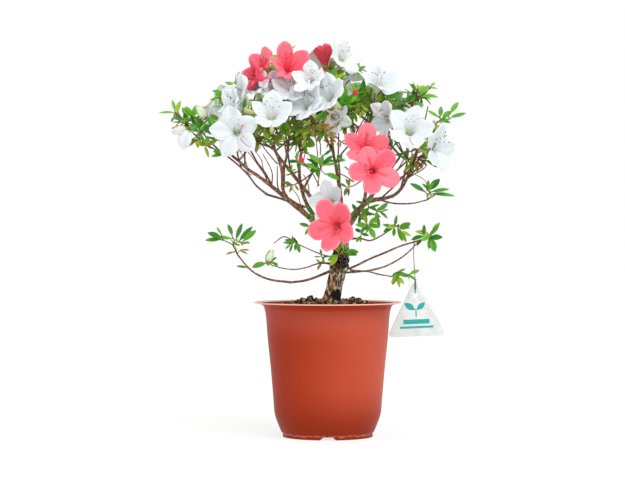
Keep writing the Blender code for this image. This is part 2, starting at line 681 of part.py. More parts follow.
def grow(mass, limbs):
    """Works out one mass's twigs, leaves and blooms, leaving out what has no room."""
    rng = random.Random(mass.seed)
    root, way, radius = root_of(mass, limbs)
    centre = Vector(mass.centre)
    heart = centre.lerp(root, 0.25)
    stem = twig_between(root, heart, (centre - root).normalized(), 3)
    stem[1] = root + way * (stem[1] - root).length
    solids = [tube(stem, blend((radius, TWIG_RADIUS), 3), 5 if radius > 1 else 3)]
    joints = [(p, (p - root).length) for p in stem[1:]]
    ends, taken = [], []
    for bloom in [b for b in BLOOMS if b.mass == mass.name]:
        face = heading(bloom.bearing, bloom.rise)
        base = Vector(bloom.throat) - face * (TUBE_LENGTH if bloom.kind != "bud" else 2)
        ends.append((base, face, bloom))
        solids.append(flower(bloom, base, face, mass))
        taken += room_of(bloom, base, face, solids[-1][0])
    for tip, face in shoot_tips(mass, root, rng):
        ends.append((tip, face, None))
    shoots = 0
    for tip, face, bloom in ends:
        if bloom is None and shoots >= mass.shoots:
            break
        start, path_length = min(joints, key=lambda j: (tip - j[0]).length + 0.3 * j[1])
        end = tip + face * (BLOOM_SUNK if bloom else 0)
        twig = twig_between(start, end, face, 1 if (end - start).length < SHORT_TWIG else 2)
        room = all(inside(p, mass) and clear_of(p, TWIG_RADIUS, limbs)
                   for p in swept_points(twig)[1:])
        if not room and bloom is None:
            continue
        solids.append(tube(twig, blend((TWIG_RADIUS, SHOOT_RADIUS), len(twig) - 1), 3))
        middle = twig[0].lerp(twig[1], 0.6) if len(twig) == 2 else twig[1]
        joints.append((middle, path_length + (middle - start).length))
        shoots += bloom is None
        count = LEAVES_A_BLOOM if bloom else LEAVES_A_SHOOT
        solids += rosette(mass, limbs, rng, twig, count, taken)
        taken += [(a, b, TWIG_RADIUS + LEAF_ROOM) for a, b in zip(twig, twig[1:])]
    return solids


def room_of(bloom, base, face, verts):
    """The lines a bloom fills and the room that leaves keep from them."""
    if bloom.kind == "bud":
        return [(base, base + face * bloom.petal, BUD_RADIUS + 1)]
    heart = base + face * TUBE_LENGTH
    petals = [(heart, verts[13 + 3 * k].lerp(verts[14 + 3 * k], 0.5), PETAL_ROOM)
              for k in range(5)]
    return petals + [(base + face * 6, heart, TUBE_RADIUS)]


def flower(bloom, base, face, mass):
    """A bloom or bud; what would leave the mass's space is drawn back to its throat."""
    if bloom.kind == "bud":
        return bud_solid(base, face, bloom.petal)
    verts, faces = bloom_solid(base, face, bloom.petal)
    heart = base + face * TUBE_LENGTH
    for index in range(12, len(verts)):
        share = 1.0
        while share > PETAL_LEAST and not inside(heart.lerp(verts[index], share), mass):
            share -= 0.04
        verts[index] = heart.lerp(verts[index], share)
    return verts, faces


def from_end(path, distance):
    """The point this far back from a path's end, and the way the path runs there."""
    for a, b in zip(path[::-1], path[-2::-1]):
        span = (a - b).length
        if distance <= span:
            return a.lerp(b, distance / span), (a - b).normalized()
        distance -= span
    return path[0], (path[1] - path[0]).normalized()


def rosette(mass, limbs, rng, run, count, taken):
    """Leaves set up a twig's end by the golden angle, where there is room for them."""
    out = []
    for k in range(count * 3):
        if len(out) >= count:
            break
        foot, line = from_end(run, LEAF_FIRST + LEAF_STEP * len(out))
        spoke = Matrix.Rotation(k * GOLDEN + rng.random() * 0.4, 3, line) @ line.orthogonal()
        lean = math.radians(rng.uniform(25, 45) + 8 * len(out))
        along = line * math.cos(lean) + spoke.normalized() * math.sin(lean)
        length = min(LEAF_LENGTH, rest_of(mass) * LEAF_SHARE) * rng.uniform(0.75, 1.1)
        width = length * LEAF_WIDTH / LEAF_LENGTH
        verts, faces = leaf_solid(foot, along, line, length, width)
        tests = verts[2:] + [foot + along * length * s for s in (0.35, 0.55, 0.75, 0.95)]
        tests += [verts[2].lerp(verts[4], 0.5), verts[3].lerp(verts[4], 0.5)]
        if any(crowded(p, taken) for p in tests[3:]):
            continue
        if all(inside(p, mass) and clear_of(p, 1.2, limbs) for p in tests):
            out.append((verts, faces))
            taken.append((foot + along * length * 0.3, verts[4], LEAF_ROOM))
    return out


def build_mass(mass, limbs):
    """Grows one mass, joins it with one union and cuts it clear of the limbs."""
    pieces = bpy.data.collections.new(mass.name + "_pieces")
    bpy.context.scene.collection.children.link(pieces)
    solids = grow(mass, limbs)
    base = object_of(mass.name, *solids[0])
    for verts, faces in solids[1:]:
        object_of("piece", verts, faces, pieces)
    base.data = joined(base, pieces, "UNION", collection=True)
    for obj in list(pieces.objects):
        bpy.data.objects.remove(obj)
    bpy.data.collections.remove(pieces)
    keep_largest(base.data)
    thin_out(base)
    clear_limbs(base, mass, limbs)
    kinds = [b.kind for b in BLOOMS if b.mass == mass.name]
    colour = "leaf"
    if kinds.count("white") or kinds.count("coral"):
        colour = "coral" if kinds.count("coral") > kinds.count("white") else "white"
    finish(base, mass.name, colour, 0.6)


def thin_out(base):
    """Collapses the shortest edges that the union left round the joints."""
    step = base.modifiers.new("thin", "DECIMATE")
    step.ratio = THINNING
    graph = bpy.context.evaluated_depsgraph_get()
    base.data = bpy.data.meshes.new_from_object(base.evaluated_get(graph))
    base.modifiers.clear()


def clear_limbs(base, mass, limbs):
    """Cuts a mass to sit on the side of its bough, and clear of limbs near its blooms."""
    for name, limb in limbs.items():
        if name == mass.bough and mass.share == 1:
            continue
        if all(limb_gap(v.co, limb) > NEAR_LIMB for v in base.data.vertices):
            continue
        cutter = object_of("cutter", *limb_solid(name, limbs, GAP))
        base.data = joined(base, cutter, "DIFFERENCE")
        bpy.data.objects.remove(cutter)
        keep_largest(base.data)


# ---------------------------------------------------------------- tag and wire

def tag_point(x, z, y=0.0):
    """A point of the tag, from its own axes: x across and z down from its top corner."""
    turned = Matrix.Rotation(-TAG_TILT, 3, "Y") @ Vector((x, 0, -z))
    return Vector(TAG_TOP) + turned + Vector((0, y, 0))


def tag_outline():
    """A triangle with round corners, point up, as (across, down) pairs."""
    low = TAG_HEIGHT - TAG_CORNER
    out = TAG_WIDTH / 2 - TAG_CORNER
    lean = 90 - math.degrees(math.atan2(out, low - TAG_CORNER))
    corners = ((0, TAG_CORNER, -lean, lean), (out, low, lean, 180), (-out, low, 180, 360 - lean))
    points = []
    for x, z, first, last in corners:
        for step in range(5):
            angle = math.radians(first + (last - first) * step / 4)
            points.append((x + TAG_CORNER * math.sin(angle), z - TAG_CORNER * math.cos(angle)))
    return points


def build_tag():
    outline = tag_outline()
    count = len(outline)
    front = [tag_point(x, z, -TAG_THICK / 2) for x, z in outline]
    back = [tag_point(x, z, TAG_THICK / 2) for x, z in outline]
    faces = [tuple(reversed(range(count))), tuple(range(count, 2 * count))]
    faces += [(k, (k + 1) % count, count + (k + 1) % count, count + k) for k in range(count)]
    obj = object_of("tag", front + back, faces)
    bm = bmesh.new()
    bm.from_mesh(obj.data)
    bmesh.ops.recalc_face_normals(bm, faces=bm.faces)
    bm.to_mesh(obj.data)
    bm.free()
    hole = tag_point(0, TAG_HOLE_DROP)
    ends = [hole + Vector((0, y, 0)) for y in (-3, 3)]
    cutter = object_of("hole", *tube(ends, [TAG_HOLE_RADIUS] * 2, 14))
    obj.data = joined(obj, cutter, "DIFFERENCE")
    bpy.data.objects.remove(cutter)
    return finish(obj, "tag", "tag", 0.35)


def wire_path(limbs):
    """A hook over the lower right bough that runs down, through the tag and back up."""
    path, radii = limbs["lower_right_bough"]
    at = WIRE_SHARE * (len(path) - 1)
    index = int(at)
    here = path[index].lerp(path[index + 1], at - index)
    turn = radii[index] + GAP + WIRE_RADIUS + 0.1
    out = [here + Vector((0, -turn, -4.5))]
    for angle in (180, 140, 90, 40, 0):
        a = math.radians(angle)
        out.append(here + Vector((0, turn * math.cos(a), turn * math.sin(a))))
    hole = tag_point(0, TAG_HOLE_DROP)
    under = hole + Vector((0, 0, TAG_HOLE_RADIUS - GAP - WIRE_RADIUS - 0.15))
    back = TAG_THICK / 2 + GAP + WIRE_RADIUS + 0.4
    out.append(Vector((here.x - 0.6, here.y, here.z - 14)))
    out.append(under + Vector((0, back + 0.4, 14)))
    out.append(under + Vector((0, back, 2.2)))
    out.append(under + Vector((0, back * 0.55, 0)))
    out.append(under + Vector((0, -back * 0.55, 0)))
    out.append(under + Vector((0, -back, 2.2)))
    out.append(under + Vector((0, -back * 0.8, 12)))
    return out


def build_wire(limbs):
    path, radii = limbs["tag_wire"]
    return finish(object_of("tag_wire", *tube(path, radii, 6)), "tag_wire", "wire", 0.4, 1.0)


# ---------------------------------------------------------------- the whole plant

def main():
    clear_scene()
    limbs = limb_table()
    build_pot()
    build_soil()
    build_limbs(limbs)
    for mass in MASSES:
        build_mass(mass, limbs)
    build_tag()
    build_wire(limbs)


main()
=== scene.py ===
"""An azalea trained as a small tree, in flower, in its thermoformed nursery pot: the finished looks.

Lengths in the tables are millimetres. +Z is up, the front faces -Y, and the pot's underside is z = 0.
"""

import math
import random
from collections import namedtuple

import bmesh
import bpy
from mathutils import Matrix, Vector, noise
from mathutils.bvhtree import BVHTree


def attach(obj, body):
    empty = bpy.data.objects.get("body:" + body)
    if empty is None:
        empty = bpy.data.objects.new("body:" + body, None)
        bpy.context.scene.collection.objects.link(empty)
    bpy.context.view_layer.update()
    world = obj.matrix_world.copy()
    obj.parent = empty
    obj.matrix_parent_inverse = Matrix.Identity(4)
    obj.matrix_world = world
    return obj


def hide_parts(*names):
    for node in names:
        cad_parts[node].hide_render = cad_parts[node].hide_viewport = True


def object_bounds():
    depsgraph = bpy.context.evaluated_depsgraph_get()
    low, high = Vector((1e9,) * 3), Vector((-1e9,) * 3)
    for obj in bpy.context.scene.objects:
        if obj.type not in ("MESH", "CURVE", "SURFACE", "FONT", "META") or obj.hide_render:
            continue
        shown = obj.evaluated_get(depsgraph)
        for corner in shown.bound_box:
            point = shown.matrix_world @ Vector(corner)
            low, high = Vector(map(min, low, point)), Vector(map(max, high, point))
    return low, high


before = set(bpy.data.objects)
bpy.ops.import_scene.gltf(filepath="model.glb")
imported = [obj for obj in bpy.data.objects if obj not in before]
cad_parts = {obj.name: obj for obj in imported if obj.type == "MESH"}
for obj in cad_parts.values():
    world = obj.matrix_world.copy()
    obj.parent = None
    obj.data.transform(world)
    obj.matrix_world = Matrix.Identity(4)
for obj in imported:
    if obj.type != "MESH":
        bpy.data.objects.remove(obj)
CAD_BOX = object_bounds()

MM = 0.001
GAP = 0.3
GOLDEN = math.radians(137.508)
UP = Vector((0, 0, 1))

# ---------------------------------------------------------------- sizes: pot, soil, tag, studio

LIP_RADIUS, LIP_Z, LIP_THICK = 80.0, 144.4, 1.2
FOOT_RADIUS, WALL, FLOOR = 49.0, 1.4, 6.0
# The pot's wall from the foot to the lip, as (radius, z, 0)
POT_BODY = ((50.0, 5.2, 0), (53.2, 12.6, 0), (57.4, 25, 0), (58.8, 40, 0), (61.8, 75, 0), (64.9, 105, 0),
            (67.0, 131, 0), (69.4, 141, 0), (72.6, 143.0, 0), (76.5, 143.9, 0), (79.2, 144.3, 0))
POT_SIDES = 160
NOTCH_WIDE, NOTCH_NARROW, NOTCH_HIGH, NOTCH_INNER = 20.0, 7.5, 4.1, 14.0  # drainage channels
SEAM_WIDTH, SEAM_PROUD, SEAM_SPAN = 0.05, 0.12, (8, 134)  # parting line: half angle, height, ends
WALL_SAG, SAG_SPAN = 0.12, (20, 130)  # how far the thin wall bows in and out, and where

SOIL_WALL = ((47.5, FLOOR + GAP), (50.0, FLOOR + 4), (55.5, 25), (56.8, 40), (59.8, 75), (62.9, 105),
             (65.0, 131), (66.2, 136.2))
SOIL_TOP = ((67.0, 136.0, 0), (58, 139.5, 0), (46, 142.5, 0), (34, 144.5, 0), (25, 145.0, 0),
            (12, 145.6, 0), (0, 146, 0))
SOIL_SIDES, SOIL_LUMP, SOIL_HEAP_REACH = 72, 2.2, 9.0
SOIL_LOOSE_Z, SOIL_RIM = 130, 63  # heaps lie above this height and within this radius
SOIL_HEAPS = ((-27, -6, 3.8), (-15, -2, 3.6), (22, -4, 3.6), (31, -8, 3.0))  # x, y, rise
STEM_AT, STEM_CLEAR, STREWN_RADIUS = 4.5, 11.0, 63.5  # granules lie between the stem and the wall
CRUMB_SCALE, CRUMB_PUSH, CRUMB_DENSITY = 420.0, 2.4, 90000.0  # how rough a granule is, most per m2
# Granules: piece, least distance apart, size, seed, colour and the painted shade in their pits
GRANULES = (("granules_ochre", 6.2, 4.1, 3, "#99683F", "#3C2416"),
            ("granules_umber", 8.5, 4.6, 11, "#4E301E", "#150C07"),
            ("granules_grey", 9.0, 4.3, 23, "#AB9376", "#5E4733"),
            ("granules_pale", 15.0, 3.7, 41, "#D2B592", "#9B7A58"))

TAG_TOP = (93.4, -18.0, 166.5)
TAG_WIDTH, TAG_HEIGHT, TAG_CORNER, TAG_THICK = 60.0, 57.5, 4.0, 1.0
TAG_HOLE_DROP, TAG_HOLE_RADIUS = 13.0, 2.8
TAG_TILT = math.radians(2.4)
PRINT_THICK, SPROUT_LOW, SPROUT_STEM = 0.12, 36.5, 9
SPROUT_LEAVES = ((-56, 14.0), (50, 12.0))  # lean from upright, length
PRINT_BARS = ((41.5, 14.0, 2.4), (47.5, 18.0, 1.1))  # distance down, half width, half height
WIRE_RADIUS, WIRE_SHARE = 0.45, 0.95  # the wire hangs this far along its bough

LENS, CAMERA_AT, CAMERA_DIP = 133.2, (-0.0164, -2.5, 0.236), 0.503  # mm, metres, degrees
WORLD_LIGHT, TABLE_GLOW, TABLE_HALF = 0.86, 0.73, 7.0
KEY_LIGHT, KEY_ANGLE, KEY_FROM = 1.4, 40, (24, 46)  # from this bearing and rise

# ---------------------------------------------------------------- sizes: growth

SIDE_STEM_RADIUS, TWIG_RADIUS, SHOOT_RADIUS, RISER_RADIUS = 1.0, 0.85, 0.5, 0.6
TUBE_LENGTH, THROAT_RADIUS = 17.0, 3.7
TUBE_RINGS = ((0, 1.8), (5, 2.1), (10, 2.7), (14, 3.2))  # height, radius
PETAL_SHELL, PETAL_CLEAR, PETAL_COLUMNS, PETAL_ROWS = 0.35, 1.6, 11, 13
STAMENS, FILAMENT_RADIUS, ANTHER_LENGTH, ANTHER_WIDTH = 6, 0.28, 2.2, 1.1
PETALS_WIDER = (0, 2, 8, 8, 2)  # degrees that each petal opens past the top one
FRECKLES = {0: 9, 1: 3, 4: 3}  # by petal
STRIPES = {0: (6, 7, 11), 4: (4, 8, 15)}  # by petal of a striped bloom: column, first and last row
VIEW_DEPTH, VIEW_WIDTH = 45, 0.85  # the open space before a bloom: length, share of its petals
LOOSE_PETAL = (25, 82)  # the half-open bud's hanging petal: length, opening
LEAF_RATIO = 0.36  # a leaf's width as a share of its length
LEAF_THICK, LEAF_ROOM = 0.35, 1.6
# Where a leaf and a pod are drawn: share of the length, share of the full width
LEAF_STATIONS = ((0.10, 0.20), (0.28, 0.74), (0.50, 1.0), (0.72, 0.86), (0.90, 0.42))
POD_STATIONS = ((0.18, 0.75), (0.45, 1.0), (0.78, 0.62))
FINER = 3  # rule shoots for every one that the solids carry
RISERS, FEW_RISERS = 7, 3  # bare twigs that climb from the boughs into each mass of the crown
RISER_SHUN, RISER_CHOICE, RISER_CLIMB = ("trunk", "right_side_bough"), 14, 10
CROWN_FLOOR, SPRAY_REACH = 285.0, 15.0
# The crown's upper outline: no leaf rises past it
CROWN_EDGE = ((-184, 343), (-180, 362), (-154, 365), (-140, 358), (-119, 377), (-97, 390),
              (-82, 414), (-40, 425), (-6, 427), (21, 432), (34, 403), (55, 406),
              (76, 384), (110, 385), (122, 384), (128, 360), (140, 365), (150, 348))
STAND_PROUD = 9.0  # how far foliage may pass the solids' box
FULL_BELOW = ("centre_left", "centre_blossom", "upper_right")  # thick with shoots under the blooms
OPEN_MASSES = ("far_right", "inner_centre")  # nothing but their own sprays
FRONT_SHARE = 0.3  # of the rule's shoots, where sprays have places of their own
FRONT_LIGHT, FRONT_FLAT = Vector((0.1, -0.8, 0.6)), 0.55
LONE_LEAN, LONE_ROOM = 0.3, 0.45  # of the usual lean and room, for a leaf that is placed alone
TRUNK_SIDES, TRUNK_STEPS, TRUNK_RULE_STEPS, TRUNK_FOOT_Z, BURL_Z = 72, 104, 13, 144.0, 195
BOUGH_STEP, COLLAR = 1.6, 0.25
TRUNK_PATH = ((3, 0, TRUNK_FOOT_Z), (5, 0, 152), (8, 0, 166), (11, 0, 179), (12.6, 0, 186),
              (14.2, 0, 197), (14.8, 0, 208), (14.8, 0, 216), (14.8, 0, 220))
TRUNK_RADII = (11.4, 9.4, 8.8, 9.3, 10.2, 8.6, 8.4, 7.6, 4.5)

# ---------------------------------------------------------------- limbs, masses and blooms

# Every limb: its root and tip radii, its steps in the growth rule and the points it bends through
BOUGHS = (
    ("left_bough", 3.3, 2.4, 6, ((14, 0, 215), (-10, -5, 229), (-27, -10, 243), (-47, -16, 259))),
    ("left_bough_outer", 2.2, 1.5, 6, ((-44, -15, 257), (-60, -21, 270), (-73, -27, 280), (-85, -33, 288),
        (-95, -37, 297))),
    ("left_loop_inner", 1.5, 1.2, 5, ((-20, -7, 238), (-32, -1, 250), (-47, 3, 256), (-67, 2, 262))),
    ("left_loop_outer", 1.1, 0.8, 7, ((-66, 2, 262), (-77, -2, 271), (-88, -8, 285), (-107, -16, 302),
        (-123, -22, 311))),
    ("left_inner_bough", 2.0, 1.4, 6, ((-43, -15, 256), (-48, -20, 267), (-49, -26, 286), (-54, -32, 303),
        (-60, -40, 315))),
    ("left_rear_bough", 1.2, 0.8, 6, ((-59, -21, 269), (-67, -18, 284), (-77, -16, 298), (-88, -22, 320),
        (-92, -30, 338))),
    ("middle_bough", 2.3, 1.4, 7, ((-7, -4, 227), (-20, 2, 247), (-26, 4, 260), (-30, 2, 277),
        (-30, -10, 299), (-23, -30, 322))),
    ("centre_bough", 1.4, 1.0, 4, ((-27, 3, 266), (-20, -8, 279), (-14, -22, 289))),
    ("top_left_bough", 1.4, 1.0, 6, ((-49, -26, 286), (-44, -16, 303), (-42, -12, 326), (-49, -14, 354))),
    ("right_bough", 3.3, 2.2, 6, ((14, 0, 214), (24, -3, 235), (35, -5, 247), (44, -7, 254),
        (57, -8, 257))),
    ("right_bough_outer", 2.0, 1.5, 6, ((54, -8, 256), (70, -11, 260), (79, -13, 268), (86, -20, 281),
        (90, -32, 292))),
    ("right_inner_bough", 2.0, 1.2, 8, ((38, -6, 249), (41, -6, 266), (38, -8, 286), (32, -10, 309),
        (25, -10, 340), (18, -12, 366))),
    ("right_top_bough", 1.3, 0.9, 5, ((33, -10, 306), (42, -12, 322), (45, -20, 338))),
    ("coral_bough", 1.4, 1.1, 4, ((41, -6, 268), (43, -24, 274), (44, -46, 279))),
    ("right_rear_bough", 1.2, 0.8, 6, ((79, -13, 268), (86, -4, 299), (87, -3, 326), (88, -10, 342))),
    ("right_side_bough", 1.0, 0.7, 5, ((55, -8, 256), (72, -3, 252), (91, -6, 252), (104, -10, 255))),
    ("mid_right_bough", 1.1, 0.7, 7, ((16, -2, 212), (28, -8, 214), (36, -10, 214), (46, -11, 212),
        (57, -12, 217), (66, -14, 223))),
    ("lower_right_bough", 1.3, 0.9, 8, ((13, 0, 178), (29, -4, 184), (45, -7, 192), (62, -10, 199),
        (78, -13, 206), (98, -16, 212))),
    ("lower_right_low_bough", 1.1, 0.7, 6, ((13, -2, 177), (29, -10, 178), (42, -15, 179), (54, -19, 176),
        (66, -24, 174))),
    ("lower_left_bough", 1.5, 1.3, 5, ((12, 0, 183), (-9, -5, 174), (-24, -9, 169), (-40, -14, 167))),
    ("lower_left_bough_outer", 1.2, 0.9, 7, ((-39, -14, 167), (-61, -20, 170), (-76, -25, 176),
        (-86, -28, 184), (-94, -31, 194))),
    ("lower_left_twig", 0.8, 0.6, 6, ((12, -2, 188), (-10, -9, 187), (-23, -12, 183), (-35, -14, 181),
        (-47, -17, 182), (-58, -20, 185))),
    ("upper_left_twig", 0.8, 0.6, 4, ((14, 0, 196), (1, -4, 195), (-12, -6, 199), (-30, -8, 207))),
    ("back_left_bough", 3.0, 1.5, 6, ((14, 2, 214), (-6, 24, 243), (-30, 44, 274), (-52, 56, 302))),
    ("back_middle_bough", 2.9, 1.4, 6, ((14, 3, 215), (15, 22, 250), (11, 44, 284), (6, 58, 310))),
    ("back_right_bough", 2.9, 1.4, 6, ((15, 2, 214), (34, 22, 243), (56, 44, 270), (74, 56, 296))),
)

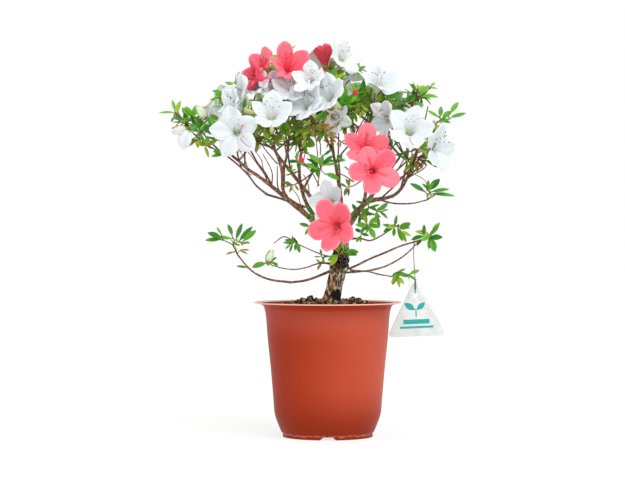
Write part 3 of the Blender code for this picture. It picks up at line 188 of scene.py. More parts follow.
# Every mass: its bough and how far along it grows (1 = the tip), the middle and half sizes of
# its space, its leafy shoots and its seed. Then come its blooms: throat (x, y, z), bearing
# (0 = front, 90 = right), rise, clockwise turn of the top petal, petal length, opening and kind.
# Last come the sprays that have a place of their own: foot (x, y, z), bearing, rise, leaves,
# leaf length and tint.
MASSES = (
    ("left_tip", "left_loop_outer", 1, (-150, -28, 331), (34, 30, 34), 6, 11, (
        (-152, -34, 331, -68, -12, 0, 19, 0, "striped_bud"),
        (-130, -40, 344, -62, 44, 0, 18, 0, "green_bud"),), (
        (-163, -30, 350, -72, 45, 4, 18, "bright"), (-144, -34, 345, -20, 75, 6, 18, "bright"),
        (-152, -24, 339, 30, 40, 4, 14, "deep"), (-136, -40, 335, 30, 30, 5, 14, "deep"),
        (-141, -34, 322, -40, -20, 5, 13, "olive"), (-130, -38, 313, 20, 10, 5, 14, "young"),
        (-137, -44, 329, -30, 30, 4, 14, "mid"),)),
    ("left_blossom", "left_bough_outer", 1, (-101, -72, 333), (38, 36, 42), 2, 12, (
        (-95, -85, 326, -12, -4, 60, 31, 70, "striped"), (-90, -76, 350, -62, 14, 20, 29, 50, "white"),), (
        (-122, -50, 332, -40, 20, 5, 15, "deep"), (-115, -56, 364, -60, 30, 3, 12, "bright"),
        (-110, -44, 304, -80, -5, 2, 15, "mid"), (-121, -40, 319, -20, -20, 5, 13, "olive"),
        (-89, -86, 349, 25, 72, 1, 14, "deep"), (-72, -92, 339, -85, 12, 1, 13, "mid"),
        (-89, -74, 347, 60, 70, 2, 16, "deep"), (-79, -60, 329, 40, -30, 6, 14, "olive"),
        (-86, -46, 316, 10, 20, 6, 9, "olive"), (-78, -50, 324, 20, 60, 6, 9, "young"),)),
    ("upper_left", "left_rear_bough", 1, (-100, -46, 368), (34, 32, 33), 2, 13, (
        (-85, -66, 358, -60, 24, 0, 31, 48, "white"), (-75, -54, 370, -20, 46, 20, 22, 48, "lilac"),), ()),
    ("centre_left", "left_inner_bough", 1, (-52, -72, 350), (36, 34, 38), 3, 14, (
        (-59, -85, 337, 0, 42, 2, 30, 50, "white"), (-19, -70, 350, -30, 30, 24, 30, 52, "white"),
        (-37, -62, 366, -8, 40, 10, 25, 54, "white"),), (
        (-70, -66, 330, -20, -30, 6, 14, "young"), (-59, -60, 322, 0, -20, 7, 14, "olive"),
        (-48, -64, 325, 20, -30, 6, 14, "young"), (-75, -50, 316, -30, -50, 5, 13, "olive"),
        (-86, -70, 332, -40, 10, 3, 16, "deep"), (-62, -52, 327, 0, 30, 7, 9, "young"),
        (-44, -72, 333, -10, 0, 8, 11, "olive"), (-30, -66, 333, 10, 0, 8, 11, "olive"),
        (-66, -70, 331, -20, -10, 7, 11, "olive"), (-48, -54, 332, 10, 40, 7, 9, "young"),
        (-69, -48, 320, -30, -10, 6, 9, "olive"), (-34, -44, 320, 20, 20, 6, 9, "deep"),
        (-54, -42, 320, 0, 60, 6, 8, "olive"), (-40, -50, 326, -20, 50, 6, 9, "olive"),)),
    ("crown_top", "top_left_bough", 1, (-58, -34, 394), (44, 34, 36), 2, 15, (
        (-44, -48, 390, 18, 34, -14, 31, 48, "coral"), (-66, -36, 391, -45, 40, 12, 25, 42, "coral"),
        (-70, -60, 383, -68, 12, 0, 20, 42, "deep_coral"), (-57, -54, 368, 8, 40, 0, 22, 50, "lilac"),), (
        (-62, -46, 382, 0, 10, 5, 13, "olive"),)),
    ("centre_blossom", "middle_bough", 1, (-3, -62, 362), (38, 38, 40), 3, 16, (
        (5, -76, 359, -36, 26, -6, 31, 50, "white"), (-18, -72, 377, -15, 30, 0, 23, 46, "pearly"),
        (6, -48, 344, 10, -22, 30, 19, 60, "blush"),), (
        (-30, -60, 329, 0, -20, 7, 14, "young"), (-16, -66, 331, 20, -20, 7, 14, "olive"),
        (-4, -68, 334, 40, 0, 8, 9, "bronze"), (-23, -50, 320, 0, -50, 6, 13, "olive"),
        (3, -56, 326, 30, -40, 8, 9, "bronze"), (-25, -40, 315, 70, 0, 4, 13, "bright"),
        (-16, -44, 331, -20, 40, 7, 9, "olive"), (-5, -46, 328, 10, 50, 7, 9, "mid"),
        (6, -42, 322, 20, 60, 7, 8, "bronze"), (0, -36, 317, 0, 50, 6, 8, "olive"),
        (-23, -38, 329, 20, 60, 6, 9, "young"), (-13, -52, 339, 0, 50, 7, 9, "bronze"),)),
    ("top_right", "right_inner_bough", 1, (13, -12, 398), (36, 30, 36), 3, 17, (
        (12, -20, 405, 34, 22, 14, 25, 50, "pearly"), (-3, -8, 401, -20, 78, 0, 22, 5, "deep_coral"),), (
        (1, -20, 397, -30, 50, 5, 12, "mid"), (8, -34, 394, 0, 15, 8, 12, "olive"),
        (10, -18, 390, 0, 0, 7, 10, "bronze"),)),
    ("upper_right", "right_top_bough", 1, (48, -36, 360), (32, 32, 36), 3, 18, (
        (52, -34, 373, 24, 44, 0, 27, 42, "white"), (66, -50, 341, -50, -4, 36, 25, 58, "cool"),
        (29, -50, 366, 10, 70, 0, 10, 0, "red_bud"),), (
        (19, -48, 357, 0, 50, 7, 14, "young"), (12, -52, 338, -20, 10, 8, 10, "bronze"),
        (30, -44, 370, 20, 60, 5, 14, "bright"), (37, -42, 366, 0, 80, 2, 19, "deep"),
        (25, -40, 348, 50, 10, 6, 14, "mid"), (16, -46, 342, -40, 20, 5, 13, "olive"),
        (16, -34, 318, 0, 60, 6, 8, "bronze"), (20, -40, 332, -20, 50, 6, 9, "olive"),)),
    ("right_leaves", "right_rear_bough", 1, (92, -12, 362), (36, 32, 28), 6, 19, (
        (52, -26, 356, -20, 66, 0, 15, 0, "cream_bud"),), (
        (64, -22, 356, -5, 80, 6, 14, "bright"), (86, -14, 363, 10, 70, 5, 12, "mid"),
        (99, -12, 367, 72, 32, 4, 22, "bright"), (110, -12, 377, 50, 60, 3, 11, "bright"),
        (92, -14, 361, 60, -20, 2, 13, "mid"), (78, -22, 357, 10, -70, 2, 13, "deep"),
        (72, -18, 359, 60, 35, 3, 18, "mid"), (54, -26, 357, -40, 30, 5, 12, "olive"),
        (59, -24, 366, -60, 50, 5, 12, "young"),)),
    ("far_right", "right_bough_outer", 0.8, (133, -26, 346), (28, 24, 28), 4, 20, (), (
        (119, -24, 344, -88, 38, 1, 15, "bright"), (120, -27, 344, 20, 86, 1, 13, "bright"),
        (131, -25, 348, 88, 60, 1, 17, "bright"), (122, -26, 342, 88, 40, 1, 15, "mid"),
        (130, -25, 343, 90, 9, 1, 20, "deep"), (119, -27, 339, 88, 10, 2, 13, "mid"),
        (113, -28, 330, 20, 70, 5, 9, "olive"), (115, -27, 335, 20, 50, 6, 9, "young"),)),
    ("right_blossom", "right_bough_outer", 1, (96, -64, 314), (38, 36, 38), 2, 21, (
        (85, -74, 324, 4, 26, 20, 31, 60, "white"), (108, -50, 309, 50, 4, 10, 30, 58, "cool"),), (
        (97, -84, 311, 10, 70, 7, 11, "bright"), (93, -52, 320, 20, 60, 6, 13, "bright"),
        (98, -42, 300, 50, 20, 7, 14, "bronze"), (88, -38, 294, 0, -20, 5, 12, "young"),
        (105, -40, 297, 80, -5, 4, 16, "mid"), (103, -44, 307, 60, 40, 4, 13, "young"),)),
    ("coral_pair", "coral_bough", 1, (44, -84, 300), (36, 36, 42), 1, 22, (
        (39, -76, 306, 0, 28, 4, 28, 60, "coral"), (46, -95, 285, 8, 4, -98, 30, 68, "coral"),), (
        (19, -64, 269, -20, 20, 6, 12, "olive"), (69, -56, 312, 60, 50, 3, 15, "deep"),
        (77, -56, 303, 60, 10, 3, 13, "deep"),)),
    ("inner_centre", "centre_bough", 1, (-8, -42, 303), (25, 26, 30), 3, 23, (
        (-28, -60, 296, -20, 60, 0, 9, 0, "red_bud"),), (
        (-26, -52, 294, 88, -23, 1, 19, "bright"), (-22, -52, 305, 88, -41, 1, 20, "mid"),
        (-7, -52, 291, 40, 84, 1, 14, "mid"), (-10, -50, 289, -88, 51, 1, 13, "deep"),
        (-5, -49, 302, 85, 31, 1, 13, "deep"), (-5, -52, 292, 88, 4, 1, 15, "bright"),
        (-5, -48, 295, 88, 27, 2, 15, "deep"), (-3, -48, 283, 88, -17, 1, 18, "bright"),
        (-32, -48, 314, -88, 6, 2, 10, "deep"), (-28, -50, 314, 88, -8, 1, 15, "bright"),
        (-28, -49, 317, 60, 64, 2, 10, "deep"), (-32, -48, 320, -80, 40, 2, 9, "deep"),
        (-33, -48, 305, 0, -78, 1, 10, "bright"), (-31, -48, 296, -88, 4, 1, 13, "deep"),
        (-12, -44, 293, 0, 30, 7, 14, "deep"), (-33, -38, 317, -20, 20, 6, 14, "olive"),
        (-40, -30, 272, -30, 10, 6, 10, "olive"), (-39, -26, 288, 30, 50, 6, 8, "young"),
        (-33, -30, 298, -30, 40, 5, 8, "mid"), (13, -30, 298, 30, 40, 5, 9, "mid"),)),
    ("right_side", "right_side_bough", 1, (119, -12, 263), (24, 22, 22), 3, 25, (), (
        (105, -14, 264, -90, 35, 1, 20, "mid"), (110, -14, 262, 88, -8, 1, 29, "mid"),
        (110, -16, 264, 85, 6, 1, 22, "bright"), (109, -16, 266, 85, 43, 1, 18, "deep"),
        (108, -18, 265, 60, 58, 2, 13, "bright"), (107, -15, 266, -20, 74, 2, 11, "bright"),
        (108, -18, 262, 0, 20, 4, 7, "young"),)),
    ("lower_centre", "right_bough", 0.35, (44, -32, 232), (26, 24, 26), 4, 26, (), (
        (43, -38, 251, -20, 30, 6, 14, "mid"), (57, -36, 243, 50, 10, 6, 13, "mid"),
        (43, -40, 227, -10, 10, 8, 14, "bright"), (31, -34, 242, -60, 10, 4, 14, "deep"),
        (35, -36, 217, 0, -50, 4, 11, "mid"), (48, -34, 240, 0, 60, 5, 14, "mid"),)),
    ("lower_coral", "trunk", 0.85, (2, -66, 242), (38, 36, 42), 1, 27, (
        (11, -80, 228, -28, 2, 112, 32, 66, "coral"), (6, -50, 252, -38, 12, 128, 27, 58, "cool"),), (
        (-18, -40, 240, -60, 10, 3, 12, "deep"), (-20, -44, 226, -88, -30, 3, 11, "mid"),)),
    ("lower_right", "lower_right_bough", 1, (116, -20, 220), (26, 24, 28), 4, 28, (), (
        (103, -20, 218, 0, 70, 3, 17, "deep"), (111, -20, 218, 60, 25, 5, 19, "bright"),
        (110, -22, 213, 60, -40, 5, 16, "mid"),)),
    ("lower_right_small", "lower_right_low_bough", 1, (78, -30, 180), (24, 22, 25), 3, 29, (), (
        (75, -30, 176, 0, 50, 8, 13, "mid"), (87, -28, 176, 80, 0, 3, 16, "mid"),
        (73, -32, 173, -10, -60, 3, 14, "young"),)),
    ("mid_right", "mid_right_bough", 1, (80, -20, 231), (23, 22, 22), 3, 30, (), (
        (70, -20, 227, -10, 60, 6, 13, "mid"), (76, -20, 227, 70, 15, 4, 17, "bright"),
        (78, -22, 222, 70, -30, 3, 15, "bright"),)),
    ("lower_left", "lower_left_bough_outer", 1, (-104, -34, 212), (33, 28, 32), 4, 31, (), (
        (-115, -31, 213, -90, 6, 1, 17, "mid"), (-101, -31, 214, -88, 16, 1, 22, "bright"),
        (-113, -33, 214, -88, 35, 1, 18, "deep"), (-114, -31, 219, -85, 58, 1, 10, "bright"),
        (-102, -32, 217, -85, 66, 1, 15, "deep"), (-98, -32, 213, 85, 76, 1, 20, "deep"),
        (-95, -30, 211, 90, 42, 1, 23, "deep"), (-91, -33, 211, 88, 37, 1, 20, "mid"),
        (-92, -32, 208, 85, 14, 2, 10, "mid"), (-93, -31, 202, 88, 0, 2, 10, "olive"),
        (-100, -31, 200, -88, -11, 1, 10, "olive"), (-98, -34, 209, -10, 50, 6, 9, "young"),
        (-86, -28, 183, -80, 18, 1, 13, "mid"),)),
    ("lower_left_bud", "lower_left_twig", 1, (-67, -22, 194), (22, 20, 22), 2, 32, (
        (-64, -20, 190, 70, 68, 0, 16, 0, "green_bud"),), (
        (-66, -20, 188, -85, -8, 1, 17, "mid"), (-63, -22, 187, -30, -20, 3, 8, "mid"),
        (-60, -22, 190, 60, 10, 3, 9, "mid"),)),
    ("lower_left_small", "upper_left_twig", 1, (-38, -10, 216), (22, 20, 22), 2, 33, (), (
        (-36, -9, 210, 10, 60, 6, 12, "mid"), (-40, -10, 208, -70, -30, 4, 10, "mid"),)),
    ("trunk_leaves", "trunk", 0.5, (17, -28, 194), (27, 22, 20), 3, 34, (
        (19, -11, 180, 30, 30, 0, 6, 0, "green_bud"),), (
        (11, -28, 196, -80, -42, 2, 15, "bright"), (15, -28, 198, 85, -5, 1, 17, "deep"),
        (18, -32, 200, 80, 0, 2, 16, "deep"), (19, -28, 203, 60, 30, 3, 12, "bright"),
        (11, -28, 202, 0, 20, 9, 10, "young"), (-9, -18, 188, -60, 0, 5, 9, "olive"),
        (-7, -20, 196, -60, 60, 3, 9, "mid"),)),
    ("back_left", "back_left_bough", 1, (-104, 28, 340), (42, 40, 38), 4, 35, (
        (-122, 28, 340, -100, 20, 0, 28, 66, "white"), (-108, 46, 356, -150, 35, 30, 27, 62, "white"),
        (-92, 52, 330, 175, 5, 10, 25, 70, "cool"),), ()),
    ("back_upper_left", "back_left_bough", 0.8, (-50, 44, 364), (44, 44, 42), 3, 36, (
        (-60, 60, 372, -170, 35, 0, 29, 66, "white"), (-46, 50, 388, 175, 60, 20, 27, 62, "coral"),
        (-78, 48, 378, -140, 50, 0, 24, 60, "blush"),), ()),
    ("back_top", "back_middle_bough", 0.8, (-2, 24, 386), (40, 34, 36), 3, 40, (
        (-12, 26, 398, 175, 70, 0, 27, 62, "white"), (16, 36, 392, 150, 45, 10, 25, 66, "white"),), ()),
    ("back_middle", "back_middle_bough", 1, (4, 70, 348), (44, 42, 44), 4, 37, (
        (-8, 86, 346, -175, 15, 0, 29, 68, "white"), (20, 80, 366, 160, 40, 20, 28, 64, "white"),
        (-14, 76, 372, -165, 45, 0, 24, 66, "cool"),), ()),
    ("back_right", "back_right_bough", 1, (64, 46, 346), (44, 44, 42), 4, 38, (
        (58, 66, 362, 170, 40, 0, 29, 66, "white"), (84, 62, 344, 150, 25, 30, 28, 62, "blush"),
        (50, 76, 311, 178, -5, 10, 26, 70, "coral"),), ()),
    ("back_far_right", "back_right_bough", 0.75, (108, 34, 318), (32, 34, 34), 4, 39, (
        (110, 44, 318, 120, 20, 0, 26, 64, "white"),), ()),
)

# Thin side twigs that carry no mass: root and tip radii and the points they run through
TWIGS = (
    (1.6, 1.5, ((-42, -12, 257), (-33, -9, 251), (-24, -4, 248))),
    (0.7, 0.45, ((64, -21, 352), (80, -18, 358), (96, -14, 365), (112, -12, 377))),
    (1.1, 0.7, ((24, -6, 180), (40, -10, 179), (61, -15, 184), (78, -18, 193), (89, -20, 202),
        (97, -21, 211))),
    (0.7, 0.5, ((-39, -9, 213), (-48, -11, 216), (-58, -14, 209))),
    (0.9, 0.7, ((38, -8, 290), (30, -16, 283), (18, -30, 291))),
    (0.8, 0.6, ((54, -14, 344), (49, -20, 336), (46, -22, 326))),
    (0.8, 0.6, ((25, -12, 345), (27, -16, 338), (29, -20, 328))),
    (0.65, 0.4, ((-82, -24, 282), (-94, -29, 291), (-108, -34, 302))),
    (0.6, 0.4, ((-85, -28, 284), (-87, -40, 295), (-94, -52, 309))),
    (0.65, 0.4, ((-65, -18, 275), (-68, -29, 283), (-80, -39, 300), (-92, -50, 315))),
    (0.55, 0.4, ((-67, -16, 281), (-70, -25, 292), (-71, -33, 298), (-80, -42, 312))),
    (0.75, 0.45, ((-60, -12, 273), (-60, -25, 286), (-69, -38, 304))),
    (0.75, 0.5, ((-54, -24, 294), (-65, -35, 307), (-73, -46, 318))),
    (0.85, 0.5, ((-51, -14, 263), (-54, -19, 272), (-54, -24, 292))),
    (1.15, 0.7, ((-48, -8, 263), (-47, -13, 272), (-46, -19, 295), (-42, -24, 313))),
    (0.65, 0.45, ((-20, -2, 261), (-21, -8, 272), (-26, -14, 283))),
    (0.65, 0.45, ((-11, -6, 270), (-8, -14, 288), (-5, -22, 299))),
    (0.65, 0.45, ((-9, -6, 271), (-17, -15, 285), (-24, -24, 292))),
    (0.65, 0.45, ((3, -18, 308), (1, -27, 315), (-3, -36, 328))),
    (0.65, 0.45, ((-8, -16, 304), (-8, -25, 315), (-11, -34, 327))),
    (0.75, 0.45, ((-13, -14, 292), (-11, -24, 302), (-13, -34, 323))),
    (0.55, 0.4, ((-29, -4, 250), (-33, -9, 261), (-42, -14, 272))),
    (0.75, 0.5, ((28, -8, 275), (19, -15, 281), (10, -22, 285))),
    (0.75, 0.5, ((-31, -2, 285), (-33, -11, 299), (-28, -20, 317))),
    (0.8, 0.5, ((-43, -20, 306), (-36, -32, 316), (-32, -44, 326))),
    (0.9, 0.5, ((80, -20, 273), (86, -24, 279), (101, -28, 288), (105, -32, 292))),
    (0.4, 0.3, ((93, -24, 283), (102, -25, 278), (107, -26, 271))),
    (1.0, 0.7, ((72, -14, 276), (85, -17, 284), (92, -20, 295))),
    (0.7, 0.5, ((75, -16, 288), (82, -23, 300), (84, -30, 305))),
    (0.9, 0.5, ((108, -26, 318), (113, -26, 330), (118, -25, 339), (126, -24, 345), (133, -24, 350))),
)
Bough = namedtuple("Bough", "name root tip steps points")
Bloom = namedtuple("Bloom", "throat bearing rise turn petal spread kind")
Spray = namedtuple("Spray", "foot bearing rise leaves length tint")
Mass = namedtuple("Mass", "name bough share centre reach shoots seed blooms sprays")
BOUGHS = [Bough(*row) for row in BOUGHS]
MASSES = [Mass(*row[:7], [Bloom(b[:3], *b[3:]) for b in row[7]], [Spray(s[:3], *s[3:]) for s in row[8]])
          for row in MASSES]
OPEN_BLOOMS = [bloom for mass in MASSES for bloom in mass.blooms if bloom.spread]

# ---------------------------------------------------------------- colours of leaf and blossom

# Finishes that lie face by face: what it is, sRGB hex and roughness
TINTS = {
    "bright": ("azalea leaf, grown, glossy", "#66B020", 0.4),
    "mid": ("azalea leaf, grown", "#529C1E", 0.42),
    "deep": ("azalea leaf, old, waxy", "#37821F", 0.36),
    "young": ("azalea leaf, young", "#9AB828", 0.5),
    "olive": ("azalea leaf, shaded, dull", "#7C8A24", 0.55),
    "bronze": ("azalea leaf, dying, dry", "#A87D33", 0.65),
    "under": ("leaf underside, matt and pale", "#8DB158", 0.65),
    "white": ("white petal, soft and matt", "#E0E7EA", 0.6),
    # This paler white is painted light, laid on petal rims and on whole blooms that are painted paler.
    "pearl": ("white petal near its edge", "#E9EEF0", 0.6),
    # This greyer, bluer white is painted shade, for petals of blooms that lie in shade.
    "cool": ("white petal in its folds", "#D5DEE2", 0.6),
    # This lilac-grey white is painted shade, for petals of blooms that lie in shade.
    "lilac": ("white petal with a lilac breath", "#DAD4E4", 0.6),
    "blush": ("white petal with a pink breath", "#EAD9DC", 0.6),
    "vein": ("white petal's pale green midrib", "#DCE8D6", 0.6),
    "throat": ("petal throat, green-yellow", "#DCEBA6", 0.6),
    "stripe": ("pink stripe on a white petal", "#E8688C", 0.55),
    "coral": ("coral petal, soft and matt", "#FF6679", 0.55),
    # This paler coral is painted light on the petals' rims, and a paler tone for some whole petals.
    "coral_light": ("coral petal near its edge", "#FF7B8B", 0.55),
    "coral_rose": ("coral petal, a shade deeper", "#F85C70", 0.55),
    "coral_vein": ("coral petal's midrib", "#F85268", 0.55),
    "deep_coral": ("coral petal, deep in the funnel", "#F4506A", 0.55),
    "freckle": ("petal freckle", "#B2386A", 0.6),
    "calyx": ("calyx, downy green", "#7E9A3A", 0.6),
    "bud": ("unopened bud, greenish white", "#DDE7C6", 0.5),
    "cream": ("unopened bud, cream", "#EFE6C0", 0.5),
    "red": ("unopened bud, red", "#E23A45", 0.5),
    "filament": ("white stamen thread", "#F3EDEC", 0.5),
    "filament_coral": ("coral stamen thread", "#F0566C", 0.5),
    "anther": ("anther, dark and dusty", "#43262B", 0.7),
    "twig_brown": ("year-old twig, red-brown", "#5F3728", 0.7),
    "twig_grey": ("older twig, grey-brown", "#705848", 0.75),
    "twig_green": ("new shoot, green", "#84973C", 0.6),
}
TINT_KIN = {"bright": ("mid", "young"), "mid": ("bright", "deep"), "deep": ("mid",),
            "young": ("bright", "olive"), "olive": ("bronze", "mid", "young"),
            "bronze": ("olive", "young")}
UPPER_TINTS = ("bright", "mid", "mid", "young")
LOWER_TINTS = ("olive", "mid", "young", "bronze", "olive", "young")
KIND_TINTS = {"white": ("white",), "striped": ("white",), "pearly": ("pearl",),
              # The next two kinds mix in greyer and lilac-grey whites that are painted shade.
              "cool": ("white", "cool"), "lilac": ("white", "lilac"),
              "blush": ("blush", "white"), "deep_coral": ("deep_coral",),
              "coral": ("coral", "coral", "coral_light", "coral_rose")}
# The last tint of each three is the rim's: a paler tint that is painted light.
DEEP_TINTS = {"white": ("throat", "vein", "pearl"), "coral": ("coral", "coral_vein", "coral_light")}
BUD_TINTS = {"green_bud": ("bud", "bud", "under"), "striped_bud": ("white", "blush", "vein"),
             "red_bud": ("red", "red", "deep_coral"), "cream_bud": ("cream", "cream", "bud")}
STRIPED = {"white": 0.15, "blush": 0.6}  # how often a low petal has a streak
# Half widths at even shares of a petal's length, its width by its length, its rounding
PETAL_SHAPES = {
    "white": ((0.36, 0.58, 0.78, 0.92, 0.99, 1.0, 0.95, 0.84, 0.66, 0.44, 0.2), 0.75, 0.13),
    "coral": ((0.34, 0.52, 0.70, 0.84, 0.94, 0.99, 1.0, 0.96, 0.86, 0.70, 0.46), 0.68, 0.13),
    "narrow": ((0.34, 0.50, 0.66, 0.80, 0.92, 0.99, 1.0, 0.97, 0.88, 0.72, 0.48), 0.64, 0.12),
}


# ---------------------------------------------------------------- finishes

def linear(colour):
    """A linear RGBA from an sRGB hex colour."""
    parts = [int(colour[i:i + 2], 16) / 255 for i in (1, 3, 5)]
    return [c / 12.92 if c <= 0.04045 else ((c + 0.055) / 1.055) ** 2.4 for c in parts] + [1.0]


def fit(node, **given):
    """Sets a node up and gives its first live output.

    Lower-case names are the node's own. The others are its sockets, by identifier, which take a
    value, a hex colour or another node's output. Stops are the (place, hex) pairs of a ramp.
    """
    stops = given.pop("stops", ())
    ramp = node.color_ramp.elements if stops else ()
    while len(ramp) < len(stops):
        ramp.new(0.5)
    for element, (place, colour) in zip(ramp, stops):
        element.position, element.color = place, linear(colour)
    sockets = {socket.identifier.replace(" ", "_"): socket for socket in node.inputs}
    for key, value in given.items():
        if key[0].islower():
            setattr(node, key, value)
        elif isinstance(value, bpy.types.NodeSocket):
            node.id_data.links.new(value, sockets[key])
        else:
            sockets[key].default_value = linear(value) if isinstance(value, str) else value
    return next((output for output in node.outputs if output.enabled), None)


def add(tree, kind, **given):
    """Adds a node with its settings and links, and gives its first live output."""
    return fit(tree.nodes.new(kind if "Node" in kind else "ShaderNode" + kind), **given)


def material(name, colour, roughness, **sockets):
    """A new material and its Principled shader."""
    made = bpy.data.materials.new(name)
    made.use_nodes = True
    shader = made.node_tree.nodes["Principled BSDF"]
    fit(shader, Base_Color=colour, Roughness=roughness, **sockets)
    made.diffuse_color = linear(colour)
    return made, shader


def patterned(*given, **sockets):
    """A new material, its shader, its tree and its Object coordinates."""
    made, shader = material(*given, **sockets)
    return made, shader, made.node_tree, add(made.node_tree, "TexCoord").node.outputs["Object"]


def pot_plastic():
    """Thermoformed polypropylene, smooth and waxy, with painted light: paler on the right side, a sheen
    high on the body, highlights on the lip's edge and round the foot, shadow under the lip and shade
    towards the foot.
    """
    made, shader, tree, where = patterned("thermoformed polypropylene, terracotta", "#B04A33",
                                          0.45, IOR=1.49, Specular_IOR_Level=0.1)
    place = add(tree, "SeparateXYZ", Vector=where).node.outputs
    # Painted light: the base colour runs from deep red on the left to paler red on the right, the side the
    # key light comes from.
    cloud = add(tree, "TexNoise", Scale=1 / (38 * MM), Detail=2.0, Vector=where)
    across = add(tree, "Math", operation="MULTIPLY_ADD", Value=cloud, Value_001=22 * MM,
                 Value_002=place["X"])
    painted_light_side = add(tree, "MapRange", From_Min=-58 * MM, From_Max=76 * MM, Value=across)
    body = add(tree, "ValToRGB", Fac=painted_light_side,
               stops=((0.0, "#96290E"), (0.35, "#A8391D"), (0.7, "#B84930"), (1.0, "#C05440")))
    # Painted shade: the skin darkens towards the foot.
    low = add(tree, "MapRange", interpolation_type="SMOOTHSTEP", From_Min=4 * MM, From_Max=62 * MM,
              Value=place["Z"])
    skin = add(tree, "Mix", data_type="RGBA", Factor_Float=low, A_Color="#8E2A0C", B_Color=body)
    # Painted sheen: the body turns paler high up, below the lip.
    painted_sheen_neck = add(tree, "MapRange", interpolation_type="SMOOTHSTEP", From_Min=100 * MM,
                    From_Max=141 * MM, To_Max=0.55, Value=place["Z"])
    # Painted shadow: a dark band under the lip, where the lip shades the neck.
    band = add(tree, "MapRange", From_Min=123 * MM, From_Max=145 * MM, Value=place["Z"])
    painted_lip_shadow = add(tree, "ValToRGB", Fac=band, stops=((0.0, "#000000"), (0.62, "#8C8C8C"),
                                                  (0.8, "#FFFFFF"), (0.93, "#FFFFFF")))
    # Painted highlight: a pale line along the lip's edge.
    painted_lip_highlight = add(tree, "ValToRGB", Fac=band, stops=((0.96, "#000000"), (0.975, "#FFFFFF")))
    # Painted highlight: a pale, wavy line round the foot ring.
    speck = add(tree, "TexNoise", Scale=1 / (5 * MM), Detail=3.0, Vector=where)
    foot_highlight_height = add(tree, "Math", operation="MULTIPLY_ADD", Value=speck, Value_001=-6 * MM,
                Value_002=place["Z"])
    foot = add(tree, "MapRange", From_Min=-1.4 * MM, From_Max=3.4 * MM, Value=foot_highlight_height)
    painted_foot_highlight = add(tree, "ValToRGB", Fac=foot, stops=((0.28, "#000000"), (0.42, "#B4B4B4"),
                                                    (0.55, "#B4B4B4"), (0.7, "#000000")))
    # Painted light laid over the skin: a sheen high on the body, shadow under the lip, and highlights on
    # the lip's edge and round the foot.
    for share, colour in ((painted_sheen_neck, "#BE5A4B"), (painted_lip_shadow, "#A2300A"), (painted_lip_highlight, "#F2BFB0"),
                          (painted_foot_highlight, "#DB9C86")):
        skin = add(tree, "Mix", data_type="RGBA", Factor_Float=share, A_Color=skin, B_Color=colour)
    peel = add(tree, "TexNoise", Scale=1 / (2.2 * MM), Detail=2.0, Vector=where)
    fit(shader, Base_Color=skin,
        Normal=add(tree, "Bump", Strength=0.12, Distance=0.12 * MM, Height=peel))
    return made


def trunk_bark():
    """Old flaky bark: tan and grey plates, rust in long streaks, black at burl and foot."""
    made, shader, tree, where = patterned("azalea bark, old and flaky", "#7B6653", 0.88,
                                          Specular_IOR_Level=0.3)
    place = add(tree, "SeparateXYZ", Vector=where).node.outputs
    along = add(tree, "Mapping", Scale=(1, 1, 0.35), Vector=where)
    plates = add(tree, "TexNoise", Scale=1 / (2.6 * MM), Detail=4.0, Vector=along)
    skin = add(tree, "ValToRGB", Fac=plates,
               stops=((0.40, "#1A110C"), (0.45, "#6A4524"), (0.50, "#9C784E"), (0.55, "#C4AA84"),
                      (0.61, "#EAE2D2")))
    streak = add(tree, "TexNoise", Scale=1 / (8 * MM), Detail=3.0, Vector=along)
    rust = add(tree, "MapRange", From_Min=0.52, From_Max=0.58, To_Max=0.7, Value=streak)
    sway = add(tree, "Math", operation="MULTIPLY_ADD", Value=streak, Value_001=30 * MM,
               Value_002=place["X"])
    grey_side = add(tree, "MapRange", From_Min=24 * MM, From_Max=28 * MM, To_Max=0.9, Value=sway)
    lichen = add(tree, "ValToRGB", Fac=plates,
                 stops=((0.42, "#4A3E32"), (0.48, "#A3947E"), (0.57, "#E2D9C8")))
    fleck = add(tree, "TexNoise", Scale=1 / (2.4 * MM), Detail=3.0, Vector=where)
    black = add(tree, "ValToRGB", Fac=fleck,
                stops=((0.46, "#110D0E"), (0.55, "#43291F"), (0.60, "#6E5345"), (0.66, "#B7AA9C")))
    wander = add(tree, "Math", operation="MULTIPLY_ADD", Value=streak, Value_001=45 * MM,
                 Value_002=place["Z"])
    rise = add(tree, "MapRange", From_Min=195 * MM, From_Max=235 * MM, Value=wander)
    burl = add(tree, "ValToRGB", Fac=rise, stops=((0.15, "#000000"), (0.3, "#FFFFFF"),
                                                  (0.72, "#FFFFFF"), (0.95, "#3C3C3C")))
    foot = add(tree, "MapRange", interpolation_type="SMOOTHSTEP", From_Min=186 * MM,
               From_Max=180 * MM, Value=wander)
    right = add(tree, "MapRange", interpolation_type="SMOOTHSTEP", From_Min=18 * MM,
                From_Max=21 * MM, Value=sway)
    damp = add(tree, "Math", operation="MULTIPLY", Value=foot, Value_001=right)
    for share, colour in ((rust, "#8F5220"), (grey_side, lichen), (burl, black), (damp, "#171210")):
        skin = add(tree, "Mix", data_type="RGBA", Factor_Float=share, A_Color=skin, B_Color=colour)
    fit(shader, Base_Color=skin,
        Normal=add(tree, "Bump", Strength=0.9, Distance=0.9 * MM, Height=plates))
    return made


